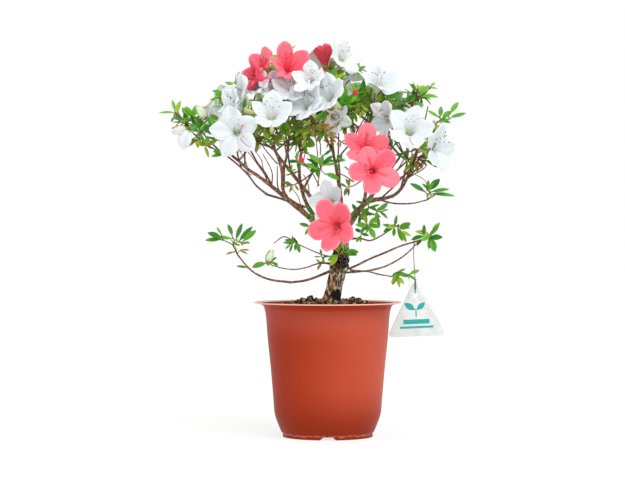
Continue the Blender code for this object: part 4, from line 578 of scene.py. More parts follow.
def bough_bark():
    """Thin bark of the boughs: red-brown skin that flakes off in small grey scales."""
    made, shader, tree, where = patterned("azalea bark, thin", "#75503A", 0.75,
                                          Specular_IOR_Level=0.35)
    grain = add(tree, "TexNoise", Scale=1 / (3 * MM), Detail=4.0, Vector=where)
    skin = add(tree, "ValToRGB", Fac=grain,
               stops=((0.34, "#5A3624"), (0.48, "#7F5036"), (0.58, "#926446"), (0.68, "#AE8B70")))
    weather = add(tree, "TexNoise", Scale=1 / (26 * MM), Detail=2.0, Vector=where)
    grey = add(tree, "MapRange", From_Min=0.44, From_Max=0.62, To_Max=0.75, Value=weather)
    scales = add(tree, "ValToRGB", Fac=grain,
                 stops=((0.38, "#5C483C"), (0.5, "#8A7260"), (0.63, "#AE9C8A")))
    fit(shader, Base_Color=add(tree, "Mix", data_type="RGBA", Factor_Float=grey, A_Color=skin,
                               B_Color=scales),
        Normal=add(tree, "Bump", Strength=0.5, Distance=0.35 * MM, Height=grain))
    return made


def tag_plastic():
    """Milky polypropylene sheet, a millimetre thick, that lets a little light through."""
    made, shader, tree, where = patterned("milky polypropylene sheet", "#DDE4E2", 0.35, IOR=1.49,
                                          Subsurface_Weight=0.3, Subsurface_Scale=1.5 * MM)
    cloud = add(tree, "TexNoise", Scale=1 / (18 * MM), Detail=2.0, Vector=where)
    fit(shader, Base_Color=add(tree, "ValToRGB", Fac=cloud,
                               stops=((0.3, "#D2DAD8"), (0.7, "#E2E8E6"))))
    return made


def granule_finish(name, colour, dark):
    """Fired clay crumb: porous and dull, with painted shade in its pits."""
    made, shader, tree, where = patterned(name, colour, 0.95, Specular_IOR_Level=0.25)
    pits = add(tree, "TexNoise", Scale=1 / (1.6 * MM), Detail=3.0, Vector=where)
    # Painted shade: the colour sinks to the dark one where the noise dips into pits.
    fit(shader, Base_Color=add(tree, "ValToRGB", Fac=pits, stops=((0.35, dark), (0.62, colour))),
        Normal=add(tree, "Bump", Strength=0.6, Distance=0.4 * MM, Height=pits))
    return made


def plain_finishes():
    """One plain material for every tint. Petals let a little light through."""
    made = {}
    for key, (name, colour, roughness) in TINTS.items():
        made[key], shader = material(name, colour, roughness, Specular_IOR_Level=0.35)
        if "petal" in name:
            fit(shader, Subsurface_Weight=0.15, Subsurface_Scale=4 * MM,
                Subsurface_Radius=(1.0, 0.6, 0.6))
    return made


# ---------------------------------------------------------------- meshes

class Heap:
    """Shapes of one kind, gathered into one piece, with a tint for every face."""

    def __init__(self):
        self.verts, self.faces, self.marks, self.tints = [], [], [], []

    def put(self, verts, faces, tint):
        """Adds a shape; tint is one name, or one name for each face."""
        start = len(self.verts)
        self.verts.extend(verts)
        self.faces.extend([tuple([start + i for i in face]) for face in faces])
        for name in [tint] * len(faces) if isinstance(tint, str) else tint:
            if name not in self.tints:
                self.tints.append(name)
            self.marks.append(self.tints.index(name))

    def piece(self, name, finishes, angle=60):
        obj = mesh_object(name, self.verts, self.faces)
        for tint in self.tints:
            obj.data.materials.append(finishes[tint])
        obj.data.polygons.foreach_set("material_index", self.marks)
        return settled(obj, angle)


def placed(obj):
    """Puts an object into the scene."""
    bpy.context.scene.collection.objects.link(obj)
    return obj


def mesh_object(name, verts, faces):
    mesh = bpy.data.meshes.new(name)
    mesh.from_pydata([tuple(v) for v in verts], [], faces)
    return placed(bpy.data.objects.new(name, mesh))


def settled(obj, angle):
    """Brings a piece from millimetres to metres, with smooth faces up to an angle."""
    obj.data.transform(Matrix.Scale(MM, 4))
    obj.data.shade_smooth()
    obj.data.set_sharp_from_angle(angle=math.radians(angle))
    return obj


def baked(obj):
    """Applies an object's modifiers to its mesh."""
    graph = bpy.context.evaluated_depsgraph_get()
    mesh = bpy.data.meshes.new_from_object(obj.evaluated_get(graph))
    obj.modifiers.clear()
    obj.data = mesh
    return obj


def cut(obj, cutter):
    """Takes a cutter out of an object, and the cutter off the scene."""
    step = obj.modifiers.new("cut", "BOOLEAN")
    step.operation, step.solver, step.object = "DIFFERENCE", "EXACT", cutter
    baked(obj)
    bpy.data.objects.remove(cutter)


def reworked(obj, change):
    """Puts an object's mesh through a change of its bmesh."""
    bm = bmesh.new()
    bm.from_mesh(obj.data)
    change(bm)
    bm.to_mesh(obj.data)
    bm.free()
    return obj


def stands(obj, slot, *nodes):
    """A finished piece rides with the plant and stands for its nodes; its slot is not used."""
    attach(obj, "root")
    if nodes:
        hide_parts(*nodes)


def spline(points, steps):
    """Evenly shared points on a smooth curve through the given ones."""
    points = [Vector(p) for p in points]
    path = [points[0] * 2 - points[1], *points, points[-1] * 2 - points[-2]]
    out = []
    for i in range(steps + 1):
        at = i / steps * (len(points) - 1)
        k = min(int(at), len(points) - 2)
        t = at - k
        a, b, c, d = path[k:k + 4]
        out.append(0.5 * (2 * b + (c - a) * t + (2 * a - 5 * b + 4 * c - d) * t ** 2
                          + (3 * b - a - 3 * c + d) * t ** 3))
    return out


def bow(start, bend, end, steps):
    """Points on a bow from start to end that leans to its bend."""
    return [start.lerp(bend, t).lerp(bend.lerp(end, t), t) for t in [i / steps for i in range(steps + 1)]]


def blend_at(values, share):
    """A value, or a tuple of them, at a share along a list."""
    at = min(max(share, 0.0), 1.0) * (len(values) - 1)
    k = min(int(at), len(values) - 2)
    a, b = values[k], values[k + 1]
    if isinstance(a, tuple):
        return [p + (q - p) * (at - k) for p, q in zip(a, b)]
    return a + (b - a) * (at - k)


def blend(values, steps):
    """The values shared over a number of steps, in straight lines between them."""
    return [blend_at(values, i / steps) for i in range(steps + 1)]


def spokes(side, up, count):
    """Directions evenly round an axis, from side towards up."""
    turns = [math.tau * k / count for k in range(count)]
    return [side * math.cos(turn) + up * math.sin(turn) for turn in turns]


def skinned(first, rings, last):
    """A closed skin over rings of points, with a point at each end."""
    sides, rows = len(rings[0]), len(rings) - 1
    verts = [first, *[p for ring in rings for p in ring], last]
    faces = []
    for k in range(sides):
        after = (k + 1) % sides
        faces.append((0, 1 + after, 1 + k))
        for low in range(1, 1 + rows * sides, sides):
            faces.append((low + k, low + after, low + after + sides, low + k + sides))
        faces.append((1 + rows * sides + k, 1 + rows * sides + after, len(verts) - 1))
    return verts, faces


def tube(path, radii, sides, relief=None):
    """A closed round bar along a path, with a point at each end."""
    rings, side = [], Vector((0, 1, 0))
    for i, (here, radius) in enumerate(zip(path, radii)):
        along = (path[min(i + 1, len(path) - 1)] - path[max(i - 1, 0)]).normalized()
        side = side - along * side.dot(along)
        if side.length < 0.1:
            side = along.orthogonal()
        side.normalize()
        rings.append([here + spoke * (radius + (relief(here, spoke, radius) if relief else 0))
                      for spoke in spokes(side, along.cross(side), sides)])
    return skinned(path[0], rings, path[-1] + (path[-1] - path[-2]).normalized() * radii[-1] * 0.7)


def pod(base, along, length, radius, sides=6):
    """A pointed bud or anther: a spindle along its axis."""
    side = along.orthogonal().normalized()
    ways = spokes(side, along.cross(side), sides)
    rings = [[base + along * (length * share) + way * (radius * wide) for way in ways]
             for share, wide in POD_STATIONS]
    return skinned(base, rings, base + along * length)


def lathe(profile, sides, lift):
    """A solid turned round Z from (radius, z) pairs that start and end on the axis."""
    verts, rings, faces = [], [], []
    for radius, z in profile:
        count = 1 if radius == 0 else sides
        rings.append(range(len(verts), len(verts) + count))
        for k in range(count):
            angle = math.tau * k / sides
            out, up = lift(radius, z, angle)
            verts.append(Vector(((radius + out) * math.cos(angle), (radius + out) * math.sin(angle),
                                 z + up)))
    for low, high in zip(rings, rings[1:]):
        for k in range(sides):
            a, b = low[k % len(low)], low[(k + 1) % len(low)]
            c, d = high[(k + 1) % len(high)], high[k % len(high)]
            faces.append(tuple(dict.fromkeys((a, b, c, d))))
    return verts, faces


# ---------------------------------------------------------------- pot and soil

def pot_profile():
    """The whole section of the pot: out under the foot, up, over the lip and back down."""
    body = [(p.x, p.y) for p in spline(POT_BODY, 60)]
    foot = [(FOOT_RADIUS - inset, z) for inset, z in ((1.2, 0), (0.2, 0.3), (0, 1.0), (0, 3.2),
                                                      (0.3, 3.8), (0.2, 4.4))]
    top = LIP_Z + LIP_THICK
    lip = [(LIP_RADIUS - inset, z) for inset, z in (
        (0.15, LIP_Z + 0.2), (0, LIP_Z + 0.6), (0.15, top - 0.15), (0.8, top), (4.5, 145.1),
        (8.2, 144.1))]
    inside = [(r - WALL, z + 0.3) for r, z in body[-10:2:-3]]
    return [(0, 0), *foot, *body, *lip, *inside, (50.6, FLOOR + 3), (48, FLOOR), (0, FLOOR)]


def mould_seam(radius, z, angle):
    """The parting line of the mould, a faint rib down the front and the back, and the wall's sag."""
    off = abs(math.remainder(angle - math.pi / 2, math.pi)) / SEAM_WIDTH
    proud = SEAM_PROUD * math.exp(-off * off) if SEAM_SPAN[0] < z < SEAM_SPAN[1] else 0
    sag = WALL_SAG * math.sin(3 * angle + z * 0.02) if SAG_SPAN[0] < z < SAG_SPAN[1] else 0
    return proud + sag, 0


def notch_prisms():
    """Four drainage channels that run in from the foot ring."""
    verts, faces = [], []
    half = ((-NOTCH_WIDE / 2, -1), (NOTCH_WIDE / 2, -1),
            (NOTCH_NARROW / 2, NOTCH_HIGH), (-NOTCH_NARROW / 2, NOTCH_HIGH))
    for quarter in range(4):
        turn = Matrix.Rotation(math.radians(90 * quarter), 3, "Z")
        start = len(verts)
        for depth in (-FOOT_RADIUS - 5, -NOTCH_INNER):
            verts += [turn @ Vector((x, depth, z)) for x, z in half]
        faces += [tuple(start + i for i in f) for f in
                  ((0, 1, 2, 3), (7, 6, 5, 4), (0, 4, 5, 1), (1, 5, 6, 2), (2, 6, 7, 3),
                   (3, 7, 4, 0))]
    return verts, faces


def make_pot():
    obj = mesh_object("nursery_pot", *lathe(pot_profile(), POT_SIDES, mould_seam))
    cut(obj, mesh_object("notches", *notch_prisms()))
    obj.data.materials.clear()
    obj.data.materials.append(pot_plastic())
    stands(settled(obj, 35), "pot", "pot")


def soil_lift(radius, z, angle):
    """Uneven heaps on the soil's top, none at the wall."""
    if z < SOIL_LOOSE_Z or radius > SOIL_RIM:
        return 0, 0
    spot = Vector((radius * math.cos(angle), radius * math.sin(angle), 0))
    rise = (noise.noise(spot / 14) + 0.5 * noise.noise(spot / 5)) * SOIL_LUMP
    for x, y, top in SOIL_HEAPS:
        away = (spot - Vector((x, y, 0))).length / SOIL_HEAP_REACH
        rise += top * math.exp(-away * away)
    return 0, rise


def granule_tree():
    """Granules strewn on a surface, with inputs for how far apart, size, seed and finish."""
    tree = bpy.data.node_groups.new("strewn granules", "GeometryNodeTree")
    tree.interface.new_socket("Geometry", in_out="OUTPUT", socket_type="NodeSocketGeometry")
    for name, kind in (("Ground", "Geometry"), ("Apart", "Float"), ("Size", "Float"),
                       ("Seed", "Int"), ("Finish", "Material")):
        tree.interface.new_socket(name, in_out="INPUT", socket_type="NodeSocket" + kind)
    given = tree.nodes.new("NodeGroupInput").outputs
    points = add(tree, "GeometryNodeDistributePointsOnFaces", distribute_method="POISSON",
                 Density_Max=CRUMB_DENSITY, Mesh=given["Ground"], Distance_Min=given["Apart"],
                 Seed=given["Seed"])
    crumb = add(tree, "GeometryNodeMeshCube", Size=(1, 1, 1), Vertices_X=3, Vertices_Y=3, Vertices_Z=3)
    where = add(tree, "GeometryNodeInputPosition")
    ball = add(tree, "VectorMath", operation="NORMALIZE", Vector=where)
    small = add(tree, "VectorMath", operation="SCALE", Scale=0.55, Vector=ball)
    half = add(tree, "Mix", data_type="VECTOR", Factor_Float=0.7, A_Vector=where, B_Vector=small)
    round_one = add(tree, "GeometryNodeSetPosition", Geometry=crumb, Position=half)
    turn = add(tree, "FunctionNodeRandomValue", data_type="FLOAT_VECTOR", Max=(6.28,) * 3,
               Seed=given["Seed"])
    uneven = add(tree, "FunctionNodeRandomValue", data_type="FLOAT_VECTOR", Min=(0.65, 0.6, 0.5),
                 Max=(1.35, 1.2, 1.0), Seed=given["Seed"])
    sized = add(tree, "VectorMath", operation="SCALE", Vector=uneven, Scale=given["Size"])
    strewn = add(tree, "GeometryNodeInstanceOnPoints", Points=points, Instance=round_one,
                 Rotation=turn, Scale=sized)
    real = add(tree, "GeometryNodeRealizeInstances", Geometry=strewn)
    rough = add(tree, "TexNoise", Scale=CRUMB_SCALE, Detail=1.0, Vector=where).node.outputs["Color"]
    centred = add(tree, "VectorMath", operation="SUBTRACT", Vector_001=(0.5,) * 3, Vector=rough)
    push = add(tree, "VectorMath", operation="SCALE", Scale=CRUMB_PUSH * MM, Vector=centred)
    shaped = add(tree, "GeometryNodeSetPosition", Geometry=real, Offset=push)
    shown = add(tree, "GeometryNodeSetMaterial", Geometry=shaped, Material=given["Finish"])
    tree.links.new(shown, tree.nodes.new("NodeGroupOutput").inputs[0])
    return tree


def soil_ground(bm):
    """Leaves only the soil's top, less a ring at the wall and a disc at the stem."""
    stem = Vector((STEM_AT * MM, 0, 0))
    away = [f for f in bm.faces if f.normal.z < 0.3 or f.calc_center_median().z < 0.1
            or (f.calc_center_median() - stem).to_2d().length < STEM_CLEAR * MM
            or f.calc_center_median().to_2d().length > STREWN_RADIUS * MM]
    bmesh.ops.delete(bm, geom=away, context="FACES")


def make_soil():
    top = [(max(p.x, 0), p.y) for p in spline(SOIL_TOP, 36)[1:-1]]
    profile = [(0, FLOOR + GAP), *SOIL_WALL, *top, (0, 146)]
    bed = settled(mesh_object("soil_bed", *lathe(profile, SOIL_SIDES, soil_lift)), 80)
    # The bed between the granules is near black: painted shade in the gaps.
    bed.data.materials.append(granule_finish("fired clay dust", "#2A1A10", "#0C0704"))
    tree = granule_tree()
    names = {i.name: i.identifier for i in tree.interface.items_tree if i.in_out == "INPUT"}
    for name, apart, size, seed, colour, dark in GRANULES:
        obj = reworked(placed(bpy.data.objects.new(name, bed.data.copy())), soil_ground)
        step = obj.modifiers.new("strew", "NODES")
        step.node_group = tree
        for key, value in (("Apart", apart * MM), ("Size", size * MM), ("Seed", seed),
                           ("Finish", granule_finish("fired clay granule, " + name[9:], colour, dark))):
            step[names[key]] = value
        baked(obj).data.set_sharp_from_angle(angle=math.radians(40))
        stands(obj, "soil")
    stands(bed, "soil", "soil")


# ---------------------------------------------------------------- trunk and boughs

def limb_table(fine):
    """Path and radii of every limb, by name, at fine steps or at the growth rule's own."""
    steps = TRUNK_STEPS if fine else TRUNK_RULE_STEPS
    table = {"trunk": (spline(TRUNK_PATH, steps), blend(TRUNK_RADII, steps))}
    for bough in BOUGHS:
        length = sum((Vector(a) - Vector(b)).length for a, b in zip(bough.points, bough.points[1:]))
        steps = max(8, round(length / BOUGH_STEP)) if fine else bough.steps
        table[bough.name] = (spline(bough.points, steps), blend((bough.root, bough.tip), steps))
    return table


def plate_relief(here, spoke, radius):
    """Old bark on the trunk: long plates with deep cracks, roots at the foot, a burl above."""
    spot = here + spoke * radius
    near, _ = noise.voronoi(Vector((spot.x / 3.6, spot.y / 3.6, spot.z / 9.0)),
                            distance_metric="DISTANCE", exponent=2.5)
    crack = max(0.0, 1 - (near[1] - near[0]) / 0.22)
    angle = math.atan2(spoke.y, spoke.x)
    flare = 1.9 * max(0.0, 1 - (here.z - TRUNK_FOOT_Z) / 9) * math.cos(5 * angle)
    burl = math.exp(-((here.z - BURL_Z) / 9) ** 2)
    lump = noise.noise(spot / 6.5) * (0.7 + 2.3 * burl)
    return flare + lump + noise.noise(spot / 1.6) * 0.5 - crack * 0.9


def thin_relief(here, spoke, radius):
    """Bark of a bough: slow swellings, knots and a fine grain."""
    spot = here + spoke * radius
    knot = max(0.0, noise.noise(here / 7.0) - 0.3)
    return radius * (0.08 * noise.noise(spot / 5.0) + 0.06 * noise.noise(spot / 1.7) + knot * 0.4)


def make_limbs(limbs):
    """The trunk, and the boughs and thin twigs, each wider where it leaves its parent."""
    verts, faces = tube(*limbs["trunk"], TRUNK_SIDES, plate_relief)
    for vert in verts[:1 + TRUNK_SIDES]:
        vert.z = TRUNK_FOOT_Z
    trunk = settled(mesh_object("trunk_bark", verts, faces), 80)
    trunk.data.materials.append(trunk_bark())
    stands(trunk, "bark", "trunk")
    heap = Heap()
    for bough in BOUGHS:
        path, radii = limbs[bough.name]
        wide = [r * (1 + COLLAR * math.exp(-i / 3)) for i, r in enumerate(radii)]
        sides = 14 if bough.root > 2 else 10 if bough.root > 1.2 else 7
        heap.put(*tube(path, wide, sides, thin_relief), "bark")
    for root, tip, points in TWIGS:
        steps = 6 * len(points)
        heap.put(*tube(spline(points, steps), blend((root, tip), steps), 7, thin_relief), "bark")
    stands(heap.piece("bough_bark", {"bark": bough_bark()}, 80), "bark", *[b.name for b in BOUGHS])


def segment_gap(point, a, b):
    """How far a point lies from the line between a and b, and the share along it."""
    along = b - a
    share = max(0.0, min(1.0, (point - a).dot(along) / max(along.length_squared, 1e-9)))
    return (point - a - along * share).length, share


def limb_gap(point, limb):
    """Clear distance from a point to a limb's skin."""
    gaps = []
    for a, b, root, tip in zip(limb[0], limb[0][1:], limb[1], limb[1][1:]):
        gap, share = segment_gap(point, a, b)
        gaps.append(gap - root - (tip - root) * share)
    return min(gaps)


# ---------------------------------------------------------------- leaves and twigs

def heading(bearing, rise):
    """A unit vector from a bearing (0 = front, 90 = right) and a rise, in degrees."""
    turn, lift = math.radians(bearing), math.radians(rise)
    return Vector((math.sin(turn) * math.cos(lift), -math.cos(turn) * math.cos(lift),
                   math.sin(lift)))


def leaf(foot, along, line, length, width, bend, fold, tint):
    """A slim leaf folded along its midrib: its verts, faces and the tint of each face."""
    side = along.cross(line)
    side = side.normalized() if side.length > 0.01 else along.orthogonal().normalized()
    over = side.cross(along)

    def at(share, across, lift=0.0):
        droop = bend * length * share * share
        return (foot + along * (length * share * (1 - 0.25 * abs(bend) * share))
                + side * across + over * (lift - droop))

    verts = [at(0, 0), at(1, 0)]
    for share, wide in LEAF_STATIONS:
        half = width * wide / 2
        verts += [at(share, -half, fold * half), at(share, 0), at(share, half, fold * half),
                  at(share, 0, -LEAF_THICK)]
    faces = [(0, 3, 2), (0, 4, 3), (0, 2, 5), (0, 5, 4)]
    a = 2
    for b in range(6, 2 + 4 * len(LEAF_STATIONS), 4):
        faces += [(a, a + 1, b + 1, b), (a + 1, a + 2, b + 2, b + 1),
                  (a + 3, a, b, b + 3), (a + 2, a + 3, b + 3, b + 2)]
        a = b
    faces += [(1, a, a + 1), (1, a + 1, a + 2), (1, a + 3, a), (1, a + 2, a + 3)]
    return verts, faces, [tint, tint, "under", "under"] * (len(LEAF_STATIONS) + 1)


def rest_of(mass):
    """The mean half size of a mass's space."""
    return math.prod(mass.reach) ** (1 / 3)


def within(mass, way, share=1.0):
    """A point in a mass's space: its middle plus a share of its half sizes along a way."""
    return Vector(mass.centre) + Vector([way[a] * mass.reach[a] * share for a in range(3)])


def inside(point, mass, slack=1.0):
    """Whether a point lies in the mass's own space, clear of every other mass's."""
    centre = Vector(mass.centre)
    off = point - centre
    if sum((off[k] / mass.reach[k]) ** 2 for k in range(3)) > slack:
        return False
    own = off.length_squared - rest_of(mass) ** 2
    for other in MASSES:
        away = Vector(other.centre)
        theirs = (point - away).length_squared - rest_of(other) ** 2
        if other is not mass and theirs - own < GAP * 2 * (away - centre).length * (2 - slack):
            return False
    return True


def crowded(point, taken, share=1.0):
    """Whether a point is too near a leaf, a twig or a bloom that is already there."""
    return any(segment_gap(point, a, b)[0] < room * share for a, b, room in taken)


def shoot_tips(mass, root, rng, total):
    """Ends of the leafy shoots, spread evenly over the space by the golden angle."""
    out = []
    back = (root - Vector(mass.centre)).normalized()
    furthest = max(0.3, 1 - 0.75 * SPRAY_REACH / rest_of(mass))
    for k in range(total):
        height = 1 - 2 * (k + 0.5) / total
        ring = math.sqrt(1 - height * height)
        angle = k * GOLDEN + mass.seed
        way = Vector((ring * math.cos(angle), ring * math.sin(angle), height))
        if way.dot(back) <= 0.55:
            tip = within(mass, way, rng.uniform(0.55, 1.0) * furthest)
            out.append((tip, (way + UP * 0.5).normalized(), None))
    return out


def twig_between(start, end, way, steps, rng=None):
    """A slightly bowed twig that arrives at its end in the given direction."""
    reach = (end - start).length
    path = bow(start, end - way * reach * 0.35, end, steps)
    if rng:
        for point in path[1:-1]:
            point += Vector([rng.uniform(-1, 1) for _ in range(3)]) * min(0.9, reach * 0.02)
    return path


def from_end(path, distance):
    """The point this far back from a path's end, and the way the path runs there."""
    for a, b in zip(path[::-1], path[-2::-1]):
        span = (a - b).length
        if distance <= span:
            return a.lerp(b, distance / span), (a - b).normalized()
        distance -= span
    return path[0], (path[1] - path[0]).normalized()


class Growth:
    """The heaps that the whole crown is gathered in, and the limbs it grows from."""

    def __init__(self, limbs):
        self.limbs, self.petals = limbs, None
        self.leaves, self.twigs, self.white, self.coral = Heap(), Heap(), Heap(), Heap()
        self.buds, self.threads, self.anthers = Heap(), Heap(), Heap()

    def know_petals(self):
        """Keeps a search tree of every petal and bud, for leaves and twigs to stay clear of."""
        verts, faces = [], []
        for heap in (self.white, self.coral, self.buds):
            start = len(verts)
            verts += heap.verts
            faces += [tuple(start + i for i in face) for face in heap.faces]
        self.petals = BVHTree.FromPolygons(verts, faces)

    def touches(self, a, b, room=PETAL_CLEAR):
        """Whether the line from a to b passes through a petal or too near one."""
        way = b - a
        if self.petals.ray_cast(a + way * 0.12, way.normalized(), way.length)[0]:
            return True
        return any(self.petals.find_nearest(a.lerp(b, t), room)[0] is not None
                   for t in (0.45, 0.72, 1.0))

    def twig(self, path, root, tip, tint):
        self.twigs.put(*tube(path, blend((root, tip), len(path) - 1), 5), tint)


def before_bloom(point):
    """Whether a point lies in the open space that a bloom looks out on."""
    for bloom in OPEN_BLOOMS:
        face = heading(bloom.bearing, bloom.rise)
        off = point - Vector(bloom.throat)
        ahead = off.dot(face)
        if 0 < ahead < VIEW_DEPTH and (off - face * ahead).length < bloom.petal * VIEW_WIDTH:
            return True
    return False


def above_edge(point):
    """Whether a point rises past the crown's outline."""
    for (a, low), (b, high) in zip(CROWN_EDGE, CROWN_EDGE[1:]):
        if point.x < b:
            return point.z > low + (high - low) * max(0.0, (point.x - a) / (b - a))
    return point.z > CROWN_EDGE[-1][1]


def in_box(point):
    """Whether a point stays within the solids' box and what foliage may stand proud."""
    low, high = CAD_BOX
    return all(low[k] / MM - STAND_PROUD < point[k] < high[k] / MM + STAND_PROUD
               for k in range(3))


def rosette(grown, mass, rng, run, count, length, tint, taken, aim=None):
    """Leaves set up a twig's end by the golden angle, where there is room for them.

    A spray that has a place of its own comes with its aim, and a leaf or two alone follow it.
    """
    made, aimed = 0, aim is not None
    lone = aimed and count < 3
    fore = 40 if mass.centre[1] < 10 else 0
    light = FRONT_LIGHT if aimed else run[-1] - Vector((0, fore, mass.centre[2] - 60))
    share = LONE_ROOM if lone else 1
    for k in range(count * 4):
        if made >= count:
            break
        low = made / max(1, count - 1)
        foot, line = from_end(run, 0.5 + 1.3 * made)
        line = aim if lone else line
        spoke = Matrix.Rotation(k * GOLDEN + rng.random() * 0.5, 3, line) @ line.orthogonal()
        lean = math.radians(rng.uniform(16, 34) + 50 * low) * (LONE_LEAN if lone else 1)
        along = line * math.cos(lean) + spoke.normalized() * math.sin(lean)
        if aimed:
            along.y *= FRONT_FLAT
            along.normalize()
        long = length * rng.uniform(0.82, 1.15) * (0.8 + 0.2 * min(1, low * 3))
        long = length if lone else long
        tip = foot + along * long
        if crowded(foot + along * long * 0.6, taken, share) or crowded(tip, taken, share):
            continue
        if grown.touches(foot, tip, PETAL_CLEAR / (2 if aimed else 1)) or limb_gap(
                tip, grown.limbs[mass.bough]) < 1:
            continue
        if not aimed and (not inside(tip, mass, 1.25) or before_bloom(tip)):
            continue
        if not in_box(tip) or above_edge(tip):
            continue
        kin = TINT_KIN[tint]
        shade = kin[rng.randrange(len(kin))] if rng.random() < 0.25 else tint
        bend = rng.uniform(0.02, 0.26) + (0.15 * low if line.z > 0 else 0)
        slim = min(0.86 if long < 15 else 1, 17 / long)
        wide = long * LEAF_RATIO * rng.uniform(0.72, 1.3) * slim
        grown.leaves.put(*leaf(foot, along, line * 0.5 + light.normalized(), long, wide, bend,
                               rng.uniform(0.05, 0.4), shade))
        taken.append((foot + along * long * 0.4, tip, LEAF_ROOM))
        made += 1
    if made:
        base, line = from_end(run, 0)
        grown.twigs.put(*pod(base - line, line, 3.4, 0.9, 5), "twig_green")
    return made


def stem_of(grown, mass):
    """A mass's stem from its limb towards its heart, and the joints that twigs leave from."""
    path, radii = grown.limbs[mass.bough]
    centre = Vector(mass.centre)
    if mass.share == 1:
        way, radius = (path[-1] - path[-2]).normalized(), radii[-1]
        root = path[-1] - way * 0.5
    else:
        i = round(mass.share * (len(path) - 1))
        line = (path[i + 1] - path[i - 1]).normalized()
        away = centre - path[i]
        out = (away - line * away.dot(line)).normalized()
        root, radius = path[i] + out * radii[i] * 0.4, SIDE_STEM_RADIUS
        way = out if mass.bough == "trunk" else (out * 0.6 + line * 0.8).normalized()
    stem = twig_between(root, centre.lerp(root, 0.25), (centre - root).normalized(), 4)
    stem[1] = root + way * (stem[1] - root).length
    grown.twig(spline(stem, 10), radius * 1.02, TWIG_RADIUS, "twig_brown")
    joints = [(p, (p - root).length) for p in stem[1:]]
    if mass.share == 1 and mass.bough != "trunk":
        joints += [(p, 3.0) for p in path[-4:]]
    return root, joints


def grow(grown, mass, rng, blooms):
    """One mass: its stem, blooms, placed sprays and the finer shoots that fill it."""
    root, joints = stem_of(grown, mass)
    taken = [line for bloom in blooms for line in bloom[3]]
    ends = [bloom[:3] for bloom in blooms]
    ends += [(Vector(s.foot), heading(s.bearing, s.rise), s) for s in mass.sprays]
    given, full = len(ends), mass.name in FULL_BELOW
    wanted = mass.shoots * FINER
    ends += shoot_tips(mass, root, rng, wanted * (12 if full else 3))
    open_mass = mass.centre[2] < CROWN_FLOOR or mass.name in OPEN_MASSES
    if mass.sprays:
        under = mass.centre[2] - 0.1 * mass.reach[2] if full else 0
        behind = mass.centre[1] + 0.15 * mass.reach[1]
        ends = [e for e in ends if e[2] or e[0].y > behind or e[0].z < under]
        wanted = 0 if open_mass else round(wanted * (2 if full else FRONT_SHARE))
    if not open_mass:
        joints += riser_joints(grown, mass, rng, RISERS if full else FEW_RISERS)
    shoots = 0
    for number, (tip, face, thing) in enumerate(ends):
        if number >= given and shoots >= wanted:
            break
        start, so_far = min(joints, key=lambda j: (tip - j[0]).length + 0.3 * j[1])
        reach = (tip - start).length
        run = twig_between(start, tip, face, max(3, round(reach / 7)), rng)
        if thing is None and not free_run(grown, mass, run, taken):
            continue
        young = rng.random() < 0.3 and reach < 30
        bark = "twig_green" if young else rng.choice(("twig_brown", "twig_brown", "twig_grey"))
        if not dress(grown, mass, rng, run, thing, taken) and not isinstance(thing, Bloom):
            continue
        grown.twig(run, TWIG_RADIUS * (0.75 if reach < 15 else 1), SHOOT_RADIUS, bark)
        joints.append((run[len(run) // 2], so_far + reach / 2))
        shoots += thing is None
        taken += [(a, b, TWIG_RADIUS + 0.6) for a, b in zip(run, run[1:])]


def free_run(grown, mass, run, taken):
    """Whether a shoot of the rule has room: in its mass, off the limb, clear of petals."""
    tip = run[-1]
    if crowded(tip, taken) or not inside(tip, mass) or before_bloom(tip) or above_edge(tip):
        return False
    if any(limb_gap(p, grown.limbs[mass.bough]) < 0.5 for p in run[2:]):
        return False
    return not any(grown.touches(a, b) for a, b in zip(run, run[1:]))


def dress(grown, mass, rng, run, thing, taken):
    """The leaves at one twig's end: a spray's own, a bloom's whorl or a shoot's rosette."""
    if isinstance(thing, Spray):
        return rosette(grown, mass, rng, run, thing.leaves, thing.length, thing.tint, taken,
                       heading(thing.bearing, thing.rise))
    high = run[-1].z > CROWN_FLOOR and run[-1].z > mass.centre[2] - 6
    tint = rng.choice(UPPER_TINTS if high else LOWER_TINTS)
    if isinstance(thing, Bloom):
        count, length = 5, rng.uniform(13, 17)
    elif high or mass.centre[2] < CROWN_FLOOR:
        count, length = rng.randint(6, 8), rng.uniform(13, 19)
    else:
        count, length = rng.randint(7, 9), rng.uniform(9, 13)
    return rosette(grown, mass, rng, run, count, length, tint, taken)


def riser_joints(grown, mass, rng, wanted):
    """Bare twigs that climb from the nearest boughs into a mass, and the joints they give."""
    centre, out = Vector(mass.centre), []
    near = sorted(((p - centre).length, name, i) for name, (path, _) in grown.limbs.items()
                  for i, p in enumerate(path) if i > 1 and name not in RISER_SHUN)
    near = [n for n in near if grown.limbs[n[1]][0][n[2]].z < centre.z - 12][:RISER_CHOICE]
    for _, name, i in rng.sample(near, min(wanted, len(near))):
        start = grown.limbs[name][0][i]
        end = within(mass, Vector([rng.gauss(0, 1) for _ in range(3)]).normalized(), 0.5)
        end.z = max(end.z, start.z + RISER_CLIMB)
        run = twig_between(start, end, (end - start + UP * 20).normalized(), 6, rng)
        grown.twig(run, 1.0, RISER_RADIUS, rng.choice(("twig_brown", "twig_grey")))
        out += [(p, (p - start).length * 0.6 + 12) for p in run[2:]]
    return out


# ---------------------------------------------------------------- blossom

def shade_of(kind):
    """Which of the two shades a kind of bloom or bud has."""
    return "coral" if "coral" in kind else "white"


